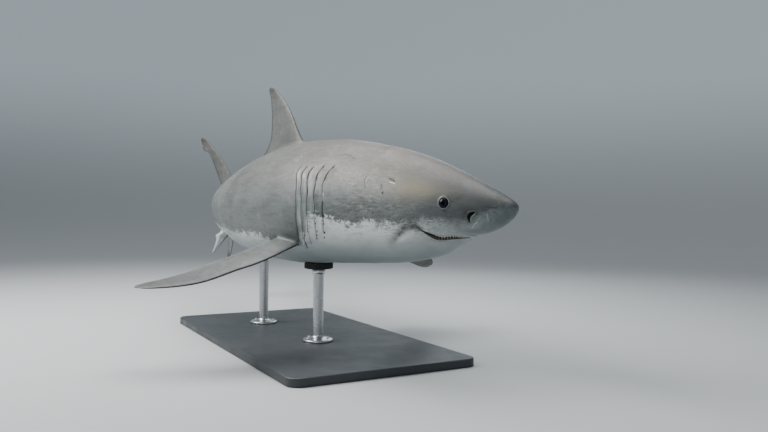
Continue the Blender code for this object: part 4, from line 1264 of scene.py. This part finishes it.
def toothRow(name, row):
    # Teeth along the mouth's line. A tooth is a pointed blade: rings whose width falls a little faster than
    # straight to the point, with fine notches along both edges, and thinner outwards.
    values = teeth[row]
    turns = np.linspace(teeth["last"], 360 - teeth["last"], 500)
    turn = fromBack(turns)
    line = mouthLine(turn)
    gap = mouthOpen(line) / 2 / mouth["slant"]
    s = line + values["way"] * gap * teeth["inGap"]
    side, up = outline(s, turns)
    inward = np.stack([mouth["throat"][0] - s, -side], 1)
    inward /= np.linalg.norm(inward, axis=1)[:, None]
    spots = np.stack([s, side], 1) + values["setIn"] * inward
    run = np.concatenate([[0], np.cumsum(np.linalg.norm(np.diff(spots, axis=0), axis=1))])
    even = (np.arange(values["count"]) + 0.5) / values["count"] * run[-1]  # the middle of each tooth
    s, side, up = (np.interp(even, run, v) for v in (spots[:, 0], spots[:, 1], up))
    ahead = np.stack([np.gradient(s), np.gradient(side)], 1)
    ahead /= np.linalg.norm(ahead, axis=1)[:, None]
    size = 1 - teeth["taper"] * np.abs(side / side.max()) ** 2
    size = size * np.clip(mouthOpen(s) / teeth["fullOpening"], teeth["smallest"], 1)
    rng = np.random.default_rng(values["seed"])
    size = (size * rng.uniform(*teeth["vary"], len(size)))[:, None, None]
    lean = rng.uniform(-teeth["lean"], teeth["lean"], len(size))[:, None, None]
    rise = np.linspace(0, 1, teeth["rings"])
    turnRound = fullTurn(teeth["sides"])
    notch = 1 + teeth["notch"] * np.cos(np.arange(len(rise)) * np.pi)
    wide = (1 - rise) ** 0.9 * notch + 0.03
    wide[0] = 1
    thin = (1 - rise) ** 0.6 * 0.9 + 0.1
    a = np.cos(turnRound) * wide[:, None] * size * values["width"] / 2
    b = np.sin(turnRound) * thin[:, None] * size * teeth["thickness"] / 2
    tall = rise[:, None] * values["height"] * size - teeth["root"] * (rise == 0)[:, None]
    a = a + lean * tall
    s, side, up, aheadS, aheadSide = (v[:, None, None] for v in (s, side, up, ahead[:, 0], ahead[:, 1]))
    atS, atSide = s + a * aheadS + b * aheadSide, side + a * aheadSide - b * aheadS
    points = place(atS, atSide, up + values["way"] * tall)
    numbers, faces = ringFaces(points.shape[:3])
    faces += numbers[:, 0].tolist() + numbers[:, -1].tolist()
    made = newMesh(name, points.reshape(-1, 3), faces)
    setAttribute(made, "rise", np.broadcast_to(rise[:, None], numbers.shape).ravel())
    return made


def toothMaterial():
    n = Nodes("tooth")
    enamel = n.mix(n.noise(260, 3), *teeth["enamel"])
    colour = n.mix(n.smooth(n.attribute("rise"), 0.0, 0.35), teeth["rootColour"], enamel)
    return n.finish(colour, 0.28, Normal=n.bump(n.noise(900, 2), 0.0004, 0.3))


toothLook = toothMaterial()
for row in ("upper", "lower"):
    dress(toothRow(row + "_teeth", row), toothLook, "teeth")
print("teeth made")

# ---- display stand
stand = {
    "sides": 72,
    "corner": 0.06, "edge": 0.007,
    "footProfile": (  # radius and height of the welded flange and its rise to the rod
        (0, 0.0004), (0.078, 0.0004), (0.080, 0.002), (0.080, 0.009), (0.0785, 0.0112), (0.074, 0.0135),
        (0.060, 0.0155), (0.040, 0.0185), (0.0305, 0.0235), (0.0275, 0.0310), (0.0270, 0.036),
    ),
    "boltCircle": 0.060, "boltRadius": 0.0068, "boltHeight": 0.0065, "bolts": 6,
    "boltLevel": 0.0145,  # over the rod's foot
    "dome": (  # shares of a bolt's radius and height
        (0.059, 0), (1, 0), (1, 0.35), (0.9, 0.7), (0.6, 0.93), (0.059, 1),
    ),
    "collar": (0.0335, 0.026),  # radius and height of the ring under a saddle
    "chamfer": 0.001, "axle": 0.0005,  # the ring's soft edges, and the smallest radius of a turned shape
    "saddleGap": 0.0006,  # between the saddle and the belly
    "rimStart": 0.93, "rimDrop": 0.004,  # share of the radius where the saddle's rim rounds off, and how far
    "saddleSide": (  # share of the way down the saddle's side, and how far the ring is drawn in
        (0.25, 0), (0.6, 0), (0.85, 0), (0.95, 0.003), (1.0, 0.010), (1.0, 0.05),
    ),
    "paint": ((0.060, 0.066, 0.072), (0.075, 0.081, 0.087)), "dust": (0.16, 0.165, 0.17),
    "steel": ((0.50, 0.51, 0.52), (0.66, 0.67, 0.68)),
    "rubber": ((0.022, 0.022, 0.023), (0.045, 0.044, 0.043)),
}


def turned(profile, centre, sides):
    # A profile of radius and height turned about an upright axis; the ends that lie on the axis are closed.
    radius, height = np.array(profile, float).T
    turn = fullTurn(sides)
    x, y = centre[0] + radius[:, None] * np.cos(turn), centre[1] + radius[:, None] * np.sin(turn)
    return closedRings(stacked(x, y, height))


def joined(name, parts):
    # Several point and face lists as one mesh.
    points, faces, total = [], [], 0
    for partPoints, partFaces in parts:
        points.append(partPoints)
        faces += [[i + total for i in face] for face in partFaces]
        total += len(partPoints)
    return newMesh(name, np.concatenate(points), faces)


def softEdges(made, angle):
    # Keeps the edges that turn by more than the angle sharp.
    made.data.set_sharp_from_angle(angle=np.radians(angle))
    return made


def standBase():
    # A rounded rectangle drawn in by each ring of a profile that rounds its upper edge.
    low, high = map(np.array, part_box("stand_base"))
    half, edge, corner = (high - low)[:2] / 2, stand["edge"], stand["corner"]
    bend = np.linspace(0, np.pi / 2, 9)
    rings = [(0.004, 0), (0, 0.004), (0, high[2] - edge)]
    rings += [(edge * (1 - np.cos(t)), high[2] - edge + edge * np.sin(t)) for t in bend[1:]]
    rings += [(0.02, high[2]), (corner, high[2])]
    inset, height = np.array(rings).T
    turn = np.linspace(0, np.pi / 2, 13)
    turns = np.concatenate([turn + k * np.pi / 2 for k in range(4)])
    signX, signY = np.repeat((1, -1, -1, 1), len(turn)), np.repeat((1, 1, -1, -1), len(turn))
    radius = np.maximum(corner - inset, 0.0005)[:, None]
    x = signX * (half[0] - corner) + radius * np.cos(turns)
    y = signY * (half[1] - corner) + radius * np.sin(turns)
    return softEdges(newMesh("stand_board", *closedRings(stacked(x, y, height))), 40)


def standRod(which):
    # The rod with its welded flange, six domed bolts and the collar under the saddle.
    low, high = map(np.array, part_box("stand_rod_" + which))
    centre, foot, top = (low + high)[:2] / 2, low[2], high[2]
    rod = stand["footProfile"][-1][0]
    collarRadius, collarHeight = stand["collar"]
    ringFoot, soft = top - collarHeight, stand["chamfer"]
    profile = [(max(radius, stand["axle"]), foot + height) for radius, height in stand["footProfile"]]
    profile += [(rod, ringFoot - soft), (collarRadius - soft, ringFoot), (collarRadius, ringFoot + soft),
                (collarRadius, top - soft), (collarRadius - soft, top), (stand["axle"], top)]
    parts = [turned(profile, centre, stand["sides"])]
    r, h, level = stand["boltRadius"], stand["boltHeight"], foot + stand["boltLevel"]
    dome = [(wide * r, level + tall * h) for wide, tall in stand["dome"]]
    for turn in fullTurn(stand["bolts"]) + np.pi / stand["bolts"]:
        spot = centre + stand["boltCircle"] * np.array((np.cos(turn), np.sin(turn)))
        parts.append(turned(dome, spot, 24))
    return softEdges(joined("stand_post_" + which, parts), 50)


def standSaddle(which):
    # A padded cup: a disc whose upper face follows the belly just below it, with a rounded rim.
    low, high = map(np.array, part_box("stand_saddle_" + which))
    centre, radius, under = (low + high)[:2] / 2, (high - low)[0] / 2, low[2]
    turn = fullTurn(stand["sides"])
    circle = np.stack([np.cos(turn), np.sin(turn)], -1)
    shares = np.linspace(0.02, 1, 16)
    flat = centre + radius * shares[:, None, None] * circle
    s, side, _ = unplace(np.concatenate([flat, np.zeros_like(flat[..., :1])], -1))
    _, belly, half, level = sizesAt(s)
    drop = np.clip(1 - (np.abs(side) / half) ** body["bellyPower"], 0, 1) ** (1 / body["bellyPower"])
    bellyHeight = snoutTip[2] + pc * (level - (level - belly) * drop)
    start = stand["rimStart"]
    rounding = np.where(shares > start, (shares - start) / (1 - start), 0)[:, None]
    rounded = 1 - np.sqrt(np.clip(1 - rounding**2, 0, 1))
    upper = bellyHeight - stand["saddleGap"] - stand["rimDrop"] * rounded
    rings = list(np.concatenate([flat, upper[..., None]], -1))
    for share, inset in stand["saddleSide"]:
        height = upper[-1] + (under - upper[-1]) * share
        rings.append(np.concatenate([centre + (radius - inset) * circle, height[:, None]], -1))
    return softEdges(newMesh("stand_pad_" + which, *closedRings(np.array(rings))), 50)


def boardMaterial():
    # Satin paint on wood: a faint grain under it, fine dust and slightly rubbed patches.
    n = Nodes("board_paint")
    grain = n.noise(9, 6, 0.6, n.objectPlace((1.5, 14, 14)))
    colour = n.mix(n.smooth(n.noise(3, 4), 0.35, 0.7), *stand["paint"])
    colour = n.mix(n.smooth(n.noise(240, 2), 0.62, 0.8, 0, 0.25), colour, stand["dust"])
    rough = n.smooth(n.noise(6, 5), 0.3, 0.7, 0.34, 0.5)
    return n.finish(colour, rough, Normal=n.bump(grain, 0.0008, 0.25))


def steelMaterial():
    # Brushed along its height: noise drawn out sideways, so that the lines run round the rod.
    n = Nodes("rod_steel")
    lines = n.noise(1, 3, 0.6, n.objectPlace((6, 6, 900)))
    colour = n.mix(lines, *stand["steel"])
    rough = n.smooth(lines, 0.3, 0.7, 0.26, 0.40)
    return n.finish(colour, rough, Metallic=1.0, Normal=n.bump(lines, 0.0002, 0.3))


def rubberMaterial():
    n = Nodes("saddle_rubber")
    colour = n.mix(n.noise(40, 4), *stand["rubber"])
    rough = n.smooth(n.noise(90, 3), 0.3, 0.7, 0.62, 0.82)
    return n.finish(colour, rough, Normal=n.bump(n.noise(500, 2), 0.0005, 0.4))


standPieces = [(standBase(), boardMaterial(), "stand_base", "base_paint")]
steelLook, rubberLook = steelMaterial(), rubberMaterial()
for which in ("front", "rear"):
    standPieces.append((standRod(which), steelLook, "stand_rod_" + which, "rod_steel"))
    standPieces.append((standSaddle(which), rubberLook, "stand_saddle_" + which, "saddle_rubber"))
for made, look, node, slotName in standPieces:
    dress(made, look, slotName, node)
print("stand made")

# ---- floor, light and camera
studio = {
    "floorRadius": 7.0, "rimHeight": 11.0, "outer": 15.0,
    "floor": (0.48, 0.495, 0.505), "wall": (0.80, 0.92, 1.0), "wallGlow": 0.2,  # the wall's own soft light
    "world": (0.82, 0.87, 0.92), "worldStrength": 0.32,
    "camera": (3.636, -1.568, 0.733),
    "forward": (-0.8703, 0.4925, -0.0086), "upward": (-0.0130, -0.0056, 0.9999),
    "lens": 33.29, "sensor": 36.0,
    "lights": {  # place, aim, size, power, colour
        "key": ((-1.4, -3.2, 4.0), (0, 0, 0.8), (3.0, 2.2), 235, (1.0, 0.985, 0.955)),
        "overhead": ((-0.4, 0.2, 4.6), (-0.2, 0, 0.8), (4.5, 3.0), 165, (1.0, 0.99, 0.97)),
        "front_fill": ((4.4, -3.8, 2.2), (0.6, 0, 0.7), (3.4, 2.4), 22, (0.92, 0.97, 1.0)),
        "back_rim": ((-3.0, 3.0, 2.8), (-0.2, 0, 0.8), (2.4, 1.6), 26, (0.9, 0.96, 1.0)),
    },
}


def studioFloor():
    # A wide bowl: flat out to its radius, then rising in a quarter of an ellipse, the same from every side.
    turn = fullTurn(96)
    flatReach, curved = studio["floorRadius"], studio["outer"] - studio["floorRadius"]
    reach = np.concatenate([(0.01, 3, 6), flatReach + curved * np.sin(np.linspace(0, np.pi / 2, 24))])
    share = np.clip((reach - flatReach) / curved, 0, 1)
    height = studio["rimHeight"] * (1 - np.sqrt(np.clip(1 - share**2, 0, 1)))
    points = stacked(reach[:, None] * np.cos(turn), reach[:, None] * np.sin(turn), height)
    numbers, faces = ringFaces(points.shape[:2])
    made = newMesh("floor", points.reshape(-1, 3), faces + [numbers[0].tolist()], solid=False)
    n = Nodes("floor")
    height = n.node("ShaderNodeSeparateXYZ", output=2, Vector=n.objectPlace())
    glow = n.smooth(height, 0.3, 4.0, 0.0, studio["wallGlow"])
    look = n.finish(studio["floor"], 0.85, Emission_Color=(*studio["wall"], 1), Emission_Strength=glow)
    made.data.materials.append(look)


def areaLight(name, spot, aim, size, power, colour):
    data = bpy.data.lights.new(name, "AREA")
    data.shape, data.size, data.size_y = "RECTANGLE", size[0], size[1]
    data.energy, data.color = power, colour
    made = bpy.data.objects.new(name, data)
    made.location = spot
    made.rotation_euler = (Vector(aim) - Vector(spot)).to_track_quat("-Z", "Y").to_euler()
    bpy.context.scene.collection.objects.link(made)


studioFloor()
for name, values in studio["lights"].items():
    areaLight(name, *values)

world = bpy.data.worlds.new("studio")
bpy.context.scene.world = world
world.use_nodes = True
background = world.node_tree.nodes["Background"]
background.inputs["Color"].default_value = (*studio["world"], 1)
background.inputs["Strength"].default_value = studio["worldStrength"]

cameraData = bpy.data.cameras.new("camera")
cameraData.lens, cameraData.sensor_width = studio["lens"], studio["sensor"]
camera = bpy.data.objects.new("camera", cameraData)
bpy.context.scene.collection.objects.link(camera)
back = -Vector(studio["forward"]).normalized()
right = Vector(studio["upward"]).cross(back).normalized()
turnMatrix = Matrix((right, back.cross(right), back)).transposed().to_4x4()
camera.matrix_world = Matrix.Translation(studio["camera"]) @ turnMatrix
bpy.context.scene.camera = camera
bpy.context.scene.view_settings.look = "AgX - Medium High Contrast"

print("scene ready")
